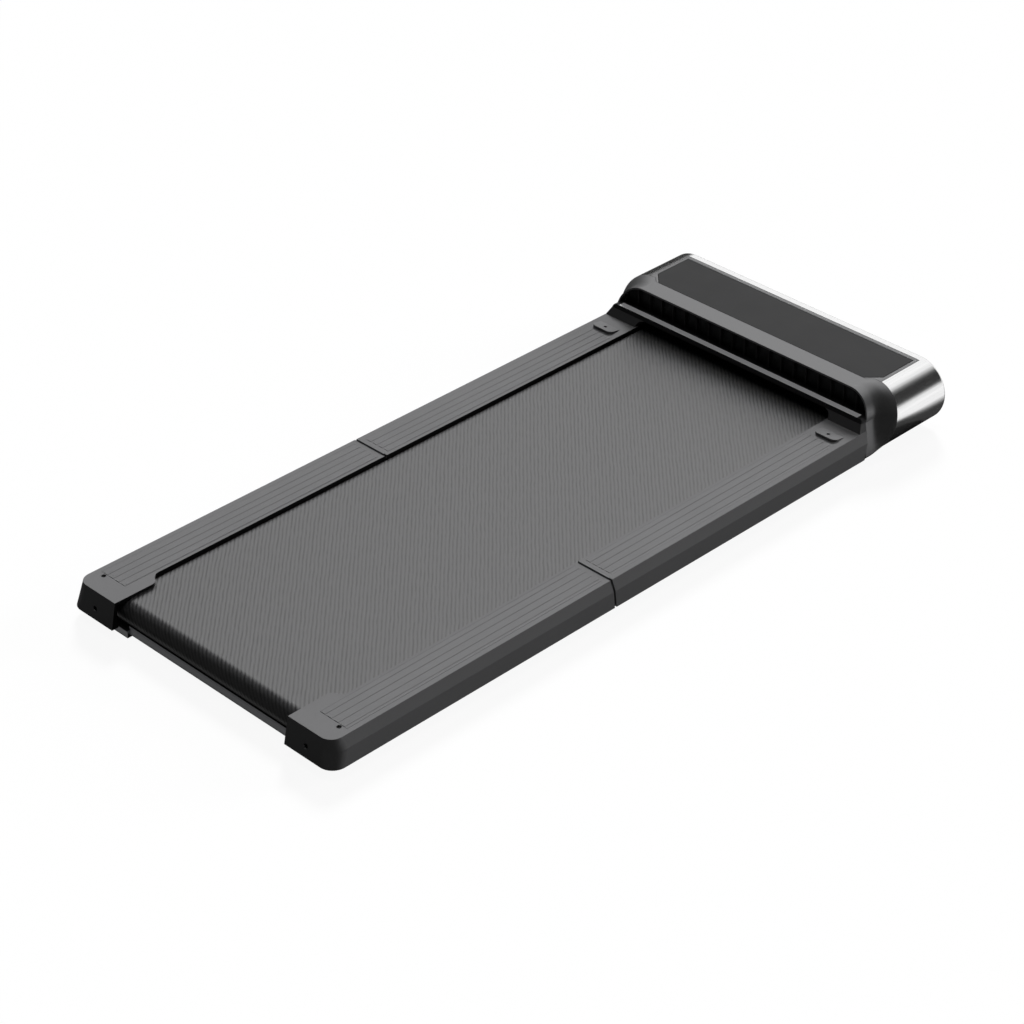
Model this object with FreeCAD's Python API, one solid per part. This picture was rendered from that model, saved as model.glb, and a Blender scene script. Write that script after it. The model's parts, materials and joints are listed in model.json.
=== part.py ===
"""A folding walking pad, modelled at its real size in millimetres.

X runs from the rear roller to the hood, Y to the left and Z up. The origin is on the floor, under the
middle of the part's box. The rear half folds up and over onto the front half about the fold line.
"""
import FreeCAD
import Part
import math
import os

V = FreeCAD.Vector

# Overall length, and the clearances that pieces share; cuts run past the face that they open by overrun
overall_length = 1428.6
overall_height = 123.0
overrun = 5.0
seat_clearance = 0.3
fit_clearance = 0.2
running_clearance = 0.05

# Belt, rollers and decks
belt_width = 441.0
belt_thickness = 1.6
belt_floor_gap = 14.9
roller_radius = 20.0
roller_wall = 4.0
roller_end_thickness = 14.0
roller_overhang = 1.0
rear_roller_setback = 33.6
front_roller_inset = 12.7
rear_axle_radius = 8.0
front_axle_radius = 6.0
axle_end_inset = 4.0
deck_overhang = 9.5
deck_thickness = 14.0
deck_end_gap = 3.0

# Rails: moulded covers over steel side tubes
belt_drop = 6.8
belt_side_gap = 3.5
rail_width = 74.5
rail_height = 47.0
facet_height = 18.5
facet_flare = 8.0
skirt_flare = 3.4
cover_wall = 3.0
cover_edge_radius = 1.6
lip_clearance = 0.6

# Corner caps at the rear ends of the rails
rear_lean = 10.0
cap_reach = 20.0
cap_length = 73.0
cap_step_length = 31.0
cap_top_radius = 22.0
cap_facet_radius = 30.0
cap_bottom_radius = 26.0
cap_screw_setback = 35.6
cap_screw_inset = 21.5
cap_screw_radius = 4.0
cap_belt_clearance = 1.8

# Fold and its hinges
rear_half_length = 604.75
fold_gap = 4.2
hinge_rise = 0.5
knuckle_clearance = 0.2
pin_radius = 1.0
knuckle_count = 5
leaf_thickness = 1.2
leaf_height = 32.0
leaf_margin = 4.0

# Side tubes and cross tubes
tube_inset = 12.0
tube_width = 26.0
tube_height = 40.0
tube_wall = 2.0
tube_end_plate = 4.0
tube_end_reach = 20.0
post_length = 22.0
post_width = 20.0
cross_tube_width = 30.0
cross_tube_height = 20.0
cross_tube_setback = 120.0

# Belt tension bolts
bolt_radius = 4.0
bolt_head_radius = 6.5
bolt_head_height = 5.0
bolt_head_room = 3.0
bolt_reach = 14.0
bolt_access_radius = 4.5

# Grip strips let into the rail tops
strip_rear_setback = 41.0
strip_front_gap = 6.0
strip_inner_margin = 6.0
strip_outer_margin = 9.5
strip_depth = 1.0
strip_fold_gap = 10.0
rib_count = 4
rib_width = 9.0
rib_height = 0.5
rib_inner_offset = 11.8
rib_outer_offset = 19.65

# Fold buffers near the hood
buffer_setback = 52.5
buffer_length = 26.0
buffer_inner_inset = 14.0
buffer_outer_inset = 13.5
buffer_height = 5.4
buffer_toe = 0.8
buffer_radius = 10.0
buffer_screw_radius = 3.2

# Hood: collar towards the belt, metal sleeve towards the front
hood_overhang = 23.5
hood_floor_gap = 2.5
hood_depth = 170.3
hood_rake_share = 0.32
collar_depth = 50.4
collar_wall = 3.0
sleeve_wall = 2.5
front_wall = 9.0
front_edge_radius = 6.0
toe_chamfer = 18.0
rim_corner_radius = 48.0
rim_inset = 6.5
rim_foot_margin = 0.5
rim_foot_rise = 24.0
rim_floor_gap = 17.5
rim_floor_inset = 7.0
rim_bulge = 1.0
swell_shares = (0, 0.3, 0.44, 0.56, 0.68, 0.8, 0.9, 1)
swell_start_share = 0.3
swell_end_share = 0.6
seam_angles_deg = (90, 52, 15, -5, -25, -57, -90)

# Top panel and its frame
collar_band = 38.2
front_strip = 16.55
frame_side = 7.0
frame_front = 8.75
panel_side_margin = 59.0
panel_chamfer = 25.0
panel_thickness = 3.0
frame_lap = 4.0
frame_floor = 2.0

# Lip over the belt mouth, its sloped ends and the vent grille
lip_rise = 20.0
lip_height = 6.5
lip_ledge = 13.0
lip_depth = 38.0
lip_reach = 4.6
lip_side_gap = 2.0
lip_end_radius = 6.0
lip_flange = 3.0
slope_run = 14.0
slope_margin = 2.0
slope_side_inset = 0.5
mouth_corner_land = 1.0
grille_inset = 27.7
grille_thickness = 2.0
grille_top_inset = 8.0
fin_depth = 7.0
fin_thickness = 2.0
fin_pitch = 28.3

# Drive
motor_radius = 38.0
motor_length = 170.0
motor_pulley_reach = 73.5
motor_setback = 60.0
motor_floor_gap = 7.0
motor_shaft_radius = 6.0
motor_shaft_depth = 38.0
motor_pulley_radius = 11.0
pulley_rise = 6.0
pulley_gap = 2.0
pulley_tube_gap = 0.7
flywheel_radius = 36.0
flywheel_width = 18.0
flywheel_gap = 10.0
drive_belt_thickness = 2.5
mount_length = 60.0
mount_width = 90.0
mount_seat_share = 0.55
board_length = 78.0
board_width = 140.0
board_thickness = 1.6
board_motor_gap = 30.0
board_bracket_gap = 2.0
standoff_height = 4.0
standoff_radius = 3.0
standoff_inset = 8.0
heat_sink_height = 26.0
heat_sink_margin = 24.0

# Power inlet and rocker
inlet_width = 62.0
inlet_height = 32.0
inlet_depth = 14.0
inlet_recess = 3.0
inlet_flange = 3.0
inlet_wheel_gap = 65.0
inlet_rise = 45.5
socket_width = 24.0
socket_height = 17.0
socket_depth = 11.0
socket_offset = -13.0
rocker_offset = 17.0
rocker_width = 12.6
rocker_length = 18.0
rocker_back = 3.0
rocker_rise = 2.6
rocker_waist = 1.4
rocker_pivot_depth = 2.0
rocker_pin_radius = 1.5
rocker_pin_length = 2.0
rocker_gap = 0.7
rocker_tilt_deg = 8.0

# Transport wheels and their brackets
wheel_radius = 18.0
wheel_width = 18.0
wheel_floor_gap = 0.6
wheel_front_inset = 0.5
wheel_side_inset = 97.0
wheel_slot_gap = 2.0
wheel_pin_radius = 4.0
bracket_arm = 3.0
bracket_arm_height = 10.0
bracket_gap = 1.0
bracket_back_gap = 3.0
bracket_nose = 5.0

# Feet and the rear cross bar
foot_radius = 12.0
front_foot_setback = 110.0
front_foot_inset = 122.0
middle_foot_radius = 13.0
middle_foot_setback = 42.0
rear_foot_length = 46.0
rear_foot_reach = 33.0
rear_foot_setback = 9.3
cross_bar_setback = 14.0
cross_bar_height = 8.0
cross_bar_length = 34.0
cross_bar_lip = 5.0
cross_bar_wall = 4.0
cross_bar_clearance = 0.8

# Heights worked out from the sizes above, from the floor up
belt_outer_radius = roller_radius + seat_clearance + belt_thickness
axis_z = belt_floor_gap + belt_outer_radius
belt_top = axis_z + belt_outer_radius
rail_top = belt_top + belt_drop
rail_bottom = rail_top - rail_height
facet_z = rail_top - facet_height
hinge_z = rail_top + hinge_rise
deck_top = belt_top - belt_thickness - seat_clearance
deck_bottom = deck_top - deck_thickness
lip_bottom_z = deck_top + lip_clearance
tube_top = rail_top - cover_wall
tube_bottom = tube_top - tube_height
cross_bar_top = belt_floor_gap - cross_bar_clearance
lip_top = rail_top + lip_rise
lip_bottom = lip_top - lip_height
sleeve_floor = hood_floor_gap + sleeve_wall
frame_depth = panel_thickness + frame_floor + seat_clearance
motor_height = sleeve_floor + motor_radius + motor_floor_gap
wheel_z = wheel_radius + wheel_floor_gap
inlet_centre_z = hood_floor_gap + inlet_rise

# Places across the part, from the middle out
rail_inner_half_width = belt_width / 2 + belt_side_gap
rail_top_half_width = rail_inner_half_width + rail_width
hood_half_width = rail_top_half_width + hood_overhang
flare = facet_flare + skirt_flare
cap_inner_half_width = rail_inner_half_width - cap_reach
tube_inner_half_width = rail_inner_half_width + tube_inset
tube_outer_half_width = tube_inner_half_width + tube_width
tube_middle = tube_inner_half_width + tube_width / 2
deck_half_width = belt_width / 2 + deck_overhang
roller_half_length = belt_width / 2 + roller_overhang
pulley_y = roller_half_length + pulley_gap
pulley_width = tube_inner_half_width - pulley_tube_gap - pulley_y
motor_left_end = pulley_y - motor_pulley_reach
motor_right_end = motor_left_end - motor_length
hood_radius = (overall_height - hood_floor_gap) / 2
hood_axis_z = hood_floor_gap + hood_radius
hood_straight = hood_half_width - hood_radius
rim_half_width = rail_top_half_width - rim_inset
rim_foot_half_width = rail_top_half_width + flare + rim_foot_margin
rim_floor_half_width = rim_foot_half_width - rim_floor_inset
panel_half_width = hood_half_width - panel_side_margin
frame_half_width = panel_half_width + frame_side
lip_half_width = rim_half_width - collar_wall - lip_side_gap
grille_top_half_width = rim_half_width - rim_corner_radius - grille_top_inset
wheel_half_spacing = hood_half_width - wheel_side_inset
bracket_half_width = wheel_width / 2 + bracket_gap + bracket_arm
board_left_end = motor_right_end - board_motor_gap
inlet_centre_y = inlet_wheel_gap - wheel_half_spacing
rocker_y = inlet_centre_y + rocker_offset
rear_foot_inner_half_width = rail_inner_half_width - rear_foot_reach

# Places along the part, from the rear to the front
rear_x = -overall_length / 2
front_x = overall_length / 2
rear_top_x = rear_x + rear_lean
rear_axis_x = rear_top_x + rear_roller_setback
rear_tube_end = rear_top_x + cover_wall + bolt_head_room + bolt_head_height
fold_x = rear_x + rear_half_length
rear_fold_face = fold_x - fold_gap / 2
front_fold_face = fold_x + fold_gap / 2
knuckle_radius = fold_gap / 2 - knuckle_clearance
rake_rise = overall_height - rail_top
rim_x = front_x - hood_depth - hood_rake_share * rake_rise
seam_x = rim_x + collar_depth
front_axis_x = seam_x - front_roller_inset
front_tube_end = front_axis_x + tube_end_reach
roller_pulley_radius = roller_radius + pulley_rise
lip_x = rim_x - lip_reach
slope_x = lip_x - slope_run
grille_x = rim_x + grille_inset
buffer_x = slope_x - buffer_setback
front_strip_end = buffer_x - strip_front_gap
panel_near_x = front_x - hood_depth + collar_band
frame_front_x = front_x - front_strip
panel_front_x = frame_front_x - frame_front
motor_x = front_x - motor_setback
wheel_x = front_x - wheel_radius - wheel_front_inset
bracket_back = wheel_x - wheel_radius - bracket_back_gap
board_front = bracket_back - bracket_arm - board_bracket_gap
inlet_face = front_x - inlet_recess
inlet_back = inlet_face - inlet_depth
rocker_x = inlet_face - rocker_pivot_depth


# Shapes that many pieces share

def block(x0, x1, y0, y1, z0, z1):
    """A box between two corners."""
    return Part.makeBox(x1 - x0, y1 - y0, z1 - z0, V(x0, y0, z0))


def rod_x(radius, x0, x1, y, z):
    """A round bar along X."""
    return Part.makeCylinder(radius, x1 - x0, V(x0, y, z), V(1, 0, 0))


def rod_y(radius, y0, y1, x, z):
    """A round bar along Y."""
    return Part.makeCylinder(radius, y1 - y0, V(x, y0, z), V(0, 1, 0))


def rod_z(radius, z0, z1, x, y):
    """A round bar along Z."""
    return Part.makeCylinder(radius, z1 - z0, V(x, y, z0), V(0, 0, 1))


def face_of(points):
    """A flat face with straight edges."""
    return Part.Face(Part.makePolygon(points + points[:1]))


def bar_x(outline, x0, x1):
    """A bar along X with a section of (y, z) points."""
    return face_of([V(x0, y, z) for y, z in outline]).extrude(V(x1 - x0, 0, 0))


def bar_y(outline, y0, y1):
    """A bar along Y with a section of (x, z) points."""
    return face_of([V(x, y0, z) for x, z in outline]).extrude(V(0, y1 - y0, 0))


def plate_z(outline, z0, z1):
    """A plate with a plan of (x, y) points."""
    return face_of([V(x, y, z0) for x, y in outline]).extrude(V(0, 0, z1 - z0))


def line(a, b):
    return Part.LineSegment(a, b).toShape()


def arc(a, b, c):
    return Part.Arc(a, b, c).toShape()


def mirrored(shape):
    """The right-hand twin of a left-hand piece."""
    return shape.mirror(V(0, 0, 0), V(0, 1, 0))


def rounded(shape, radius, wanted):
    """The shape with a fillet on each edge whose middle point passes the test."""
    edges = [e for e in shape.Edges if wanted(e.valueAt((e.FirstParameter + e.LastParameter) / 2), e)]
    return shape.makeFillet(radius, edges)


def near(a, b):
    return abs(a - b) < running_clearance


pieces = {}


def add_pair(name, left):
    """Keep a left-hand piece and its mirror image."""
    pieces[name + "_left"] = left
    pieces[name + "_right"] = mirrored(left)


# Rail covers

def front_rail_cover():
    """Left front cover: an open channel with a wall at the fold, cut back to the hood's raked rim."""
    outer = [
        (rail_inner_half_width, rail_bottom),
        (rail_inner_half_width, rail_top),
        (rail_top_half_width, rail_top),
        (rail_top_half_width + facet_flare, facet_z),
        (rail_top_half_width + flare, rail_bottom),
    ]
    inner = [
        (rail_inner_half_width + cover_wall, rail_bottom - overrun),
        (rail_inner_half_width + cover_wall, rail_top - cover_wall),
        (rail_top_half_width - cover_wall, rail_top - cover_wall),
        (rail_top_half_width + facet_flare - cover_wall, facet_z),
        (rail_top_half_width + flare - cover_wall, rail_bottom),
        (rail_top_half_width + flare - cover_wall, rail_bottom - overrun),
    ]
    shape = bar_x(outer, front_fold_face, rim_x)
    shape = shape.cut(ahead_of(rim_x - seat_clearance))
    shape = rounded(shape, cover_edge_radius, lambda p, e: near(p.z, rail_top) and p.x < slope_x
                    and e.Length > slope_run * 2 and p.y > rail_inner_half_width)
    shape = shape.cut(bar_x(inner, front_fold_face + cover_wall, rim_x + overrun))
    shape = shape.cut(inner_wall_cut(front_fold_face - overrun, rim_x + overrun))
    return shape.cut(strip_pocket(front_fold_face + strip_fold_gap, front_strip_end))


def inner_wall_cut(x0, x1):
    """Room for the belt and deck below a rail's inner lip."""
    y0 = cap_inner_half_width - overrun
    return block(x0, x1, y0, rail_inner_half_width + cover_wall, rail_bottom - overrun, lip_bottom_z)


def cover_plan(spread, radius, inset, z):
    """Plan of a left rear cover at height z, with its side's flare and corner radius there.

    The rear end leans evenly from top to bottom. The inset is the wall taken off.
    """
    inner = rail_inner_half_width
    outer = rail_top_half_width + spread - inset
    rear = rear_top_x - rear_lean * (rail_top - z) / rail_height + inset
    front = rear_fold_face - inset
    corner = radius - inset
    turn = corner * (1 - math.sqrt(0.5))
    edges = []
    if inset:
        inner = rail_inner_half_width + inset
        start = V(rear, inner, z)
        edges.append(line(V(front, inner, z), start))
    else:
        start = V(rear, cap_inner_half_width, z)
        edges += step_edges(front, inner, rear, z)
    edges.append(line(start, V(rear, outer - corner, z)))
    edges.append(arc(V(rear, outer - corner, z), V(rear + turn, outer - turn, z), V(rear + corner, outer, z)))
    edges.append(line(V(rear + corner, outer, z), V(front, outer, z)))
    edges.append(line(V(front, outer, z), V(front, inner, z)))
    return Part.Wire(edges)


def step_edges(front, inner, rear, z):
    """The inner edge of a rear cover: straight, an S of two equal arcs, then the cap's straight edge."""
    x0 = rear_top_x + cap_length
    x1 = x0 + cap_step_length
    half_run = cap_step_length / 2
    half_rise = (inner - cap_inner_half_width) / 2
    radius = (half_run ** 2 + half_rise ** 2) / (2 * half_rise)
    sweep = math.asin(half_run / radius) / 2
    along = radius * math.sin(sweep)
    across = radius * (1 - math.cos(sweep))
    middle = V(x0 + half_run, inner - half_rise, z)
    return [
        line(V(front, inner, z), V(x1, inner, z)),
        arc(V(x1, inner, z), V(x1 - along, inner - across, z), middle),
        arc(middle, V(x0 + along, cap_inner_half_width + across, z), V(x0, cap_inner_half_width, z)),
        line(V(x0, cap_inner_half_width, z), V(rear, cap_inner_half_width, z)),
    ]


def rear_rail_cover():
    """Left rear cover: flared sides, and a corner cap that reaches in over the belt's edge."""
    outer = Part.makeLoft([cover_plan(flare, cap_bottom_radius, 0, rail_bottom),
                           cover_plan(facet_flare, cap_facet_radius, 0, facet_z),
                           cover_plan(0, cap_top_radius, 0, rail_top)], True, True)
    hollow = Part.makeLoft([cover_plan(flare, cap_bottom_radius, cover_wall, rail_bottom - overrun),
                            cover_plan(flare, cap_bottom_radius, cover_wall, rail_bottom),
                            cover_plan(facet_flare, cap_facet_radius, cover_wall, facet_z),
                            cover_plan(0, cap_top_radius, cover_wall, rail_top - cover_wall)], True, True)
    shape = outer.cut(hollow)
    step_end = rear_top_x + cap_length + cap_step_length
    shape = shape.cut(inner_wall_cut(rear_top_x + cover_wall, rear_fold_face + overrun))
    shape = shape.cut(block(rear_top_x + cover_wall, step_end + overrun, cap_inner_half_width - overrun,
                            rail_inner_half_width, rail_bottom - overrun, belt_top + cap_belt_clearance))
    screw_x = rear_top_x + cap_screw_setback
    shape = shape.cut(rod_z(cap_screw_radius, rail_top - cover_wall - overrun, rail_top + overrun,
                            screw_x, rail_top_half_width - cap_screw_inset))
    shape = shape.cut(rod_x(bolt_access_radius, rear_x - overrun, rear_top_x + cover_wall + overrun,
                            tube_middle, axis_z))
    return shape.cut(strip_pocket(rear_top_x + strip_rear_setback, rear_fold_face - strip_fold_gap))


# Grip strips

def strip_edges():
    return rail_inner_half_width + strip_inner_margin, rail_top_half_width - strip_outer_margin


def strip_pocket(x0, x1):
    """The shallow pocket in a rail top that a grip strip lies in."""
    y0, y1 = strip_edges()
    return block(x0, x1, y0, y1, rail_top - strip_depth, rail_top + overrun)


def grip_strip(x0, x1):
    """Left grip strip: a thin plate flush with the rail top, with raised ribs along it."""
    y0, y1 = strip_edges()
    a = x0 + fit_clearance
    b = x1 - fit_clearance
    shape = block(a, b, y0 + fit_clearance, y1 - fit_clearance, rail_top - strip_depth, rail_top)
    rib_pitch = (rail_width - rib_inner_offset - rib_outer_offset) / (rib_count - 1)
    for i in range(rib_count):
        y = rail_inner_half_width + rib_inner_offset + i * rib_pitch
        shape = shape.fuse(block(a, b, y - rib_width / 2, y + rib_width / 2, rail_top - strip_depth,
                                 rail_top + rib_height))
    return shape.removeSplitter()


# Steel frame and decks

def side_tube(x0, x1):
    """Left side tube, a hollow rectangle along X."""
    outer = block(x0, x1, tube_inner_half_width, tube_outer_half_width, tube_bottom, tube_top)
    hollow = block(x0 - overrun, x1 + overrun, tube_inner_half_width + tube_wall,
                   tube_outer_half_width - tube_wall, tube_bottom + tube_wall, tube_top - tube_wall)
    return outer.cut(hollow)


def front_side_tube():
    """Left front tube, drilled for the front axle, with a post that stands on the hood's floor."""
    shape = side_tube(front_fold_face + cover_wall + seat_clearance, front_tube_end)
    post = block(front_tube_end - post_length, front_tube_end, tube_inner_half_width,
                 tube_inner_half_width + post_width, sleeve_floor, tube_bottom)
    shape = shape.fuse(post).removeSplitter()
    return shape.cut(rod_y(front_axle_radius + running_clearance, tube_inner_half_width - overrun,
                           tube_outer_half_width + overrun, front_axis_x, axis_z))


def rear_side_tube():
    """Left rear tube, with an end plate for the tension bolt and a slot for the rear axle."""
    shape = side_tube(rear_tube_end, rear_fold_face - cover_wall - seat_clearance)
    plate = block(rear_tube_end, rear_tube_end + tube_end_plate, tube_inner_half_width,
                  tube_outer_half_width, tube_bottom, tube_top)
    shape = shape.fuse(plate).removeSplitter()
    shape = shape.cut(rod_x(bolt_radius + fit_clearance, rear_tube_end - overrun,
                            rear_tube_end + tube_end_plate + overrun, tube_middle, axis_z))
    slot = rear_axle_radius + running_clearance
    y0 = tube_inner_half_width - overrun
    y1 = tube_inner_half_width + tube_wall + overrun
    return shape.cut(block(rear_axis_x - bolt_reach, rear_axis_x + bolt_reach, y0, y1,
                           axis_z - slot, axis_z + slot))


def cross_tube(x):
    """A hollow tube across the frame under the deck, between the side tubes."""
    x0 = x - cross_tube_width / 2
    x1 = x + cross_tube_width / 2
    z0 = deck_bottom - cross_tube_height
    outer = block(x0, x1, -tube_inner_half_width, tube_inner_half_width, z0, deck_bottom)
    hollow = block(x0 + tube_wall, x1 - tube_wall, -tube_inner_half_width - overrun,
                   tube_inner_half_width + overrun, z0 + tube_wall, deck_bottom - tube_wall)
    return outer.cut(hollow)


def deck(x0, x1):
    """A deck board."""
    return block(x0, x1, -deck_half_width, deck_half_width, deck_bottom, deck_top)


# Hinges at the fold

def hinge_span():
    return rail_inner_half_width + leaf_margin, rail_top_half_width - leaf_margin


def hinge_leaf(direction, first):
    """Left hinge leaf: a plate on the end of a rail, with every other knuckle from the first."""
    y0, y1 = hinge_span()
    pitch = (y1 - y0) / knuckle_count
    face = direction * fold_gap / 2
    inner = face - direction * leaf_thickness
    low = fold_x + min(face, inner)
    high = fold_x + max(face, inner)
    plate_top = hinge_z - knuckle_radius - 2 * fit_clearance
    shape = block(low, high, y0, y1, hinge_z - leaf_height, plate_top)
    for i in range(first, knuckle_count, 2):
        a = y0 + i * pitch + seat_clearance / 2
        b = y0 + (i + 1) * pitch - seat_clearance / 2
        shape = shape.fuse(block(low, high, a, b, plate_top, hinge_z))
        shape = shape.fuse(rod_y(knuckle_radius, a, b, fold_x, hinge_z))
    bore = rod_y(pin_radius + running_clearance, y0 - overrun, y1 + overrun, fold_x, hinge_z)
    return shape.removeSplitter().cut(bore)


def hinge_pin():
    """Left hinge pin."""
    y0, y1 = hinge_span()
    return rod_y(pin_radius, y0, y1, fold_x, hinge_z)


def fold_buffer():
    """Left fold buffer: a wedge with a round-cornered high edge towards the rear."""
    x0 = buffer_x
    x1 = x0 + buffer_length
    y0 = rail_inner_half_width + buffer_inner_inset
    y1 = rail_top_half_width - buffer_outer_inset
    outline = [(x0, rail_top), (x0, rail_top + buffer_height), (x1, rail_top + buffer_toe), (x1, rail_top)]
    shape = bar_y(outline, y0, y1)
    shape = rounded(shape, buffer_radius, lambda p, e: near(p.x, x0) and (near(p.y, y0) or near(p.y, y1)))
    hole = rod_z(buffer_screw_radius, rail_top - overrun, rail_top + buffer_height + overrun,
                 (x0 + x1) / 2, (y0 + y1) / 2)
    return shape.cut(hole)


# Hood

def raked_x(x, z):
    """Where a plane raked like the hood, at x on the rail top, stands at height z."""
    return x + hood_rake_share * (z - rail_top)


def ahead_of(x):
    """Everything in front of a raked plane."""
    low = -overrun
    high = overall_height + overrun
    far = front_x + overrun
    outline = [(raked_x(x, low), low), (raked_x(x, high), high), (far, high), (far, low)]
    return bar_y(outline, -hood_half_width - overrun, hood_half_width + overrun)


def rim_points():
    """Half outline of the collar's rim, from the top line round to the bottom line, as (y, z) points."""
    bend = rim_corner_radius * (1 - math.sqrt(0.5))
    top_run = rim_half_width - rim_corner_radius
    shoulder = overall_height - rim_corner_radius
    foot = rim_foot_rise
    middle_y = (rim_half_width + rim_foot_half_width) / 2 + rim_bulge
    corner_y = (rim_foot_half_width + rim_floor_half_width) / 2 + rim_bulge * math.sqrt(2)
    corner_z = (foot + rim_floor_gap) / 2 - rim_bulge * math.sqrt(2)
    return [
        (top_run, overall_height),
        (rim_half_width - bend, overall_height - bend),
        (rim_half_width, shoulder),
        (middle_y, (shoulder + foot) / 2),
        (rim_foot_half_width, foot),
        (corner_y, corner_z),
        (rim_floor_half_width, rim_floor_gap),
    ]


def seam_points():
    """Half outline of the hood's main section, at the same places as the rim's points."""
    return hood_arc(hood_radius)


def hood_arc(radius):
    """Points round the hood's side at a radius, from the top line to the bottom line."""
    turned = [math.radians(a) for a in seam_angles_deg]
    return [(hood_straight + radius * math.cos(a), hood_axis_z + radius * math.sin(a)) for a in turned]


def inset_points(points, inset):
    """The half outline moved in by a wall's thickness."""
    slant = inset * math.sqrt(0.5)
    sideways = (-inset, 0)
    moves = [(0, -inset), (-slant, -slant), sideways, sideways, sideways, (-slant, slant), (0, inset)]
    return [(y + dy, z + dz) for (y, z), (dy, dz) in zip(points, moves)]


def section_wire(points, x, rake):
    """A closed section across the hood from a half outline, at x on the rail top and raked by rake."""
    right = [V(x + rake * (z - rail_top), y, z) for y, z in points]
    left = [V(x + rake * (z - rail_top), -y, z) for y, z in points]
    edges = [line(left[0], right[0])]
    for i in (0, 2, 4):
        edges.append(arc(right[i], right[i + 1], right[i + 2]))
    edges.append(line(right[6], left[6]))
    for i in (6, 4, 2):
        edges.append(arc(left[i], left[i - 1], left[i - 2]))
    return Part.Wire(edges)


def swell_at(share):
    """How far the collar has swollen, at a share of its depth: straight at first, then an S to a slope."""
    way = max(0, share - swell_start_share) / (1 - swell_start_share)
    return (3 - swell_end_share) * way ** 2 + (swell_end_share - 2) * way ** 3


def collar_body(inset, reach):
    """The collar's form as a solid, moved in by inset and drawn out by reach past both its ends."""
    rim = rim_points()
    seam = seam_points()
    wires = []
    for share in swell_shares:
        swell = swell_at(share)
        mixed = [(a + (c - a) * swell, b + (d - b) * swell) for (a, b), (c, d) in zip(rim, seam)]
        points = inset_points(mixed, inset)
        x = rim_x + collar_depth * share
        if share == 0 and reach:
            wires.append(section_wire(points, x - reach, hood_rake_share))
        wires.append(section_wire(points, x, hood_rake_share))
    if reach:
        wires.append(section_wire(inset_points(seam, inset), seam_x + reach, hood_rake_share))
    return Part.makeLoft(wires, True, True)


def frame_plan(margin):
    """Plan of the panel frame, grown by margin: its near corners are cut off back to the seam's line."""
    near_x = panel_near_x - margin
    far_x = frame_front_x + margin
    side = frame_half_width + margin
    cut = panel_chamfer + margin * (2 - math.sqrt(2))
    ear_x = raked_x(seam_x, overall_height - frame_depth) - margin
    ear_y = side - cut + ear_x - near_x
    return [(near_x, side - cut), (ear_x, ear_y), (ear_x, side), (far_x, side),
            (far_x, -side), (ear_x, -side), (ear_x, -ear_y), (near_x, cut - side)]


def panel_plan(margin):
    """Plan of the top panel, grown by margin."""
    near_x = panel_near_x - margin
    far_x = panel_front_x + margin
    side = panel_half_width + margin
    cut = panel_chamfer + margin * (2 - math.sqrt(2))
    return [(near_x, side - cut), (near_x + cut, side), (far_x, side), (far_x, -side), (near_x + cut, -side),
            (near_x, cut - side)]


def panel_opening():
    """The opening in the hood's top that the panel frame fills."""
    return plate_z(frame_plan(fit_clearance), overall_height - frame_depth, overall_height + overrun)


def hood_collar():
    """Plastic collar round the belt's entry, swelling from the raked rim to the hood's full section.

    Its underside is open where the belt's lower run passes.
    """
    shape = collar_body(0, 0).cut(collar_body(collar_wall, overrun))
    shape = shape.cut(block(rim_x - rake_rise, seam_x, -rail_inner_half_width, rail_inner_half_width,
                            -overrun, axis_z))
    return shape.cut(panel_opening())


def hood_body(inset, nose):
    """The hood's section drawn along X, moved in by inset, with its nose back by nose and its toe cut off."""
    x0 = rim_x - rake_rise
    section = section_wire(hood_arc(hood_radius - inset), x0, 0)
    shape = Part.Face(section).extrude(V(front_x - nose - x0, 0, 0))
    if nose == 0:
        shape = rounded(shape, front_edge_radius, lambda p, e: near(p.x, front_x))
    drop = inset * math.sqrt(2)
    toe_z = hood_floor_gap + toe_chamfer + drop
    toe_x = front_x - toe_chamfer - drop
    wedge = [(toe_x - overrun, hood_floor_gap - overrun), (front_x + overrun, toe_z + overrun),
             (front_x + overrun, hood_floor_gap - overrun)]
    return shape.cut(bar_y(wedge, -hood_half_width - overrun, hood_half_width + overrun))


def hood_sleeve():
    """Bright metal sleeve: the hood's outer shell from the raked seam to its closed front."""
    shape = hood_body(0, 0).cut(hood_body(sleeve_wall, front_wall))
    shape = shape.common(ahead_of(seam_x))
    shape = shape.cut(panel_opening())
    slot = wheel_width / 2 + wheel_slot_gap
    reach = wheel_radius + wheel_slot_gap
    for y in (wheel_half_spacing, -wheel_half_spacing):
        shape = shape.cut(block(wheel_x - reach, front_x + overrun, y - slot, y + slot,
                                -overrun, wheel_z + reach))
    return shape.cut(inlet_block(fit_clearance))


def panel_frame():
    """Frame round the top panel, with a floor under it that laps beneath the collar and the sleeve."""
    seat = overall_height - panel_thickness
    shape = plate_z(frame_plan(0), seat - frame_floor, overall_height)
    shape = shape.cut(plate_z(panel_plan(fit_clearance), seat, overall_height + overrun))
    lap_top = overall_height - max(collar_wall, sleeve_wall)
    lap = block(panel_near_x - frame_lap, frame_front_x + frame_lap, -hood_straight + panel_chamfer,
                hood_straight - panel_chamfer, seat - frame_floor, lap_top)
    shape = shape.fuse(lap).removeSplitter()
    return shape.common(hood_body(0, front_edge_radius))


def top_panel():
    """Dark flat panel on top of the hood."""
    return plate_z(panel_plan(0), overall_height - panel_thickness, overall_height)


def slope_at(z):
    """Where the sloped front of the lip and its ends stands at height z."""
    return lip_x - slope_run * (lip_top - z) / lip_rise


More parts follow.
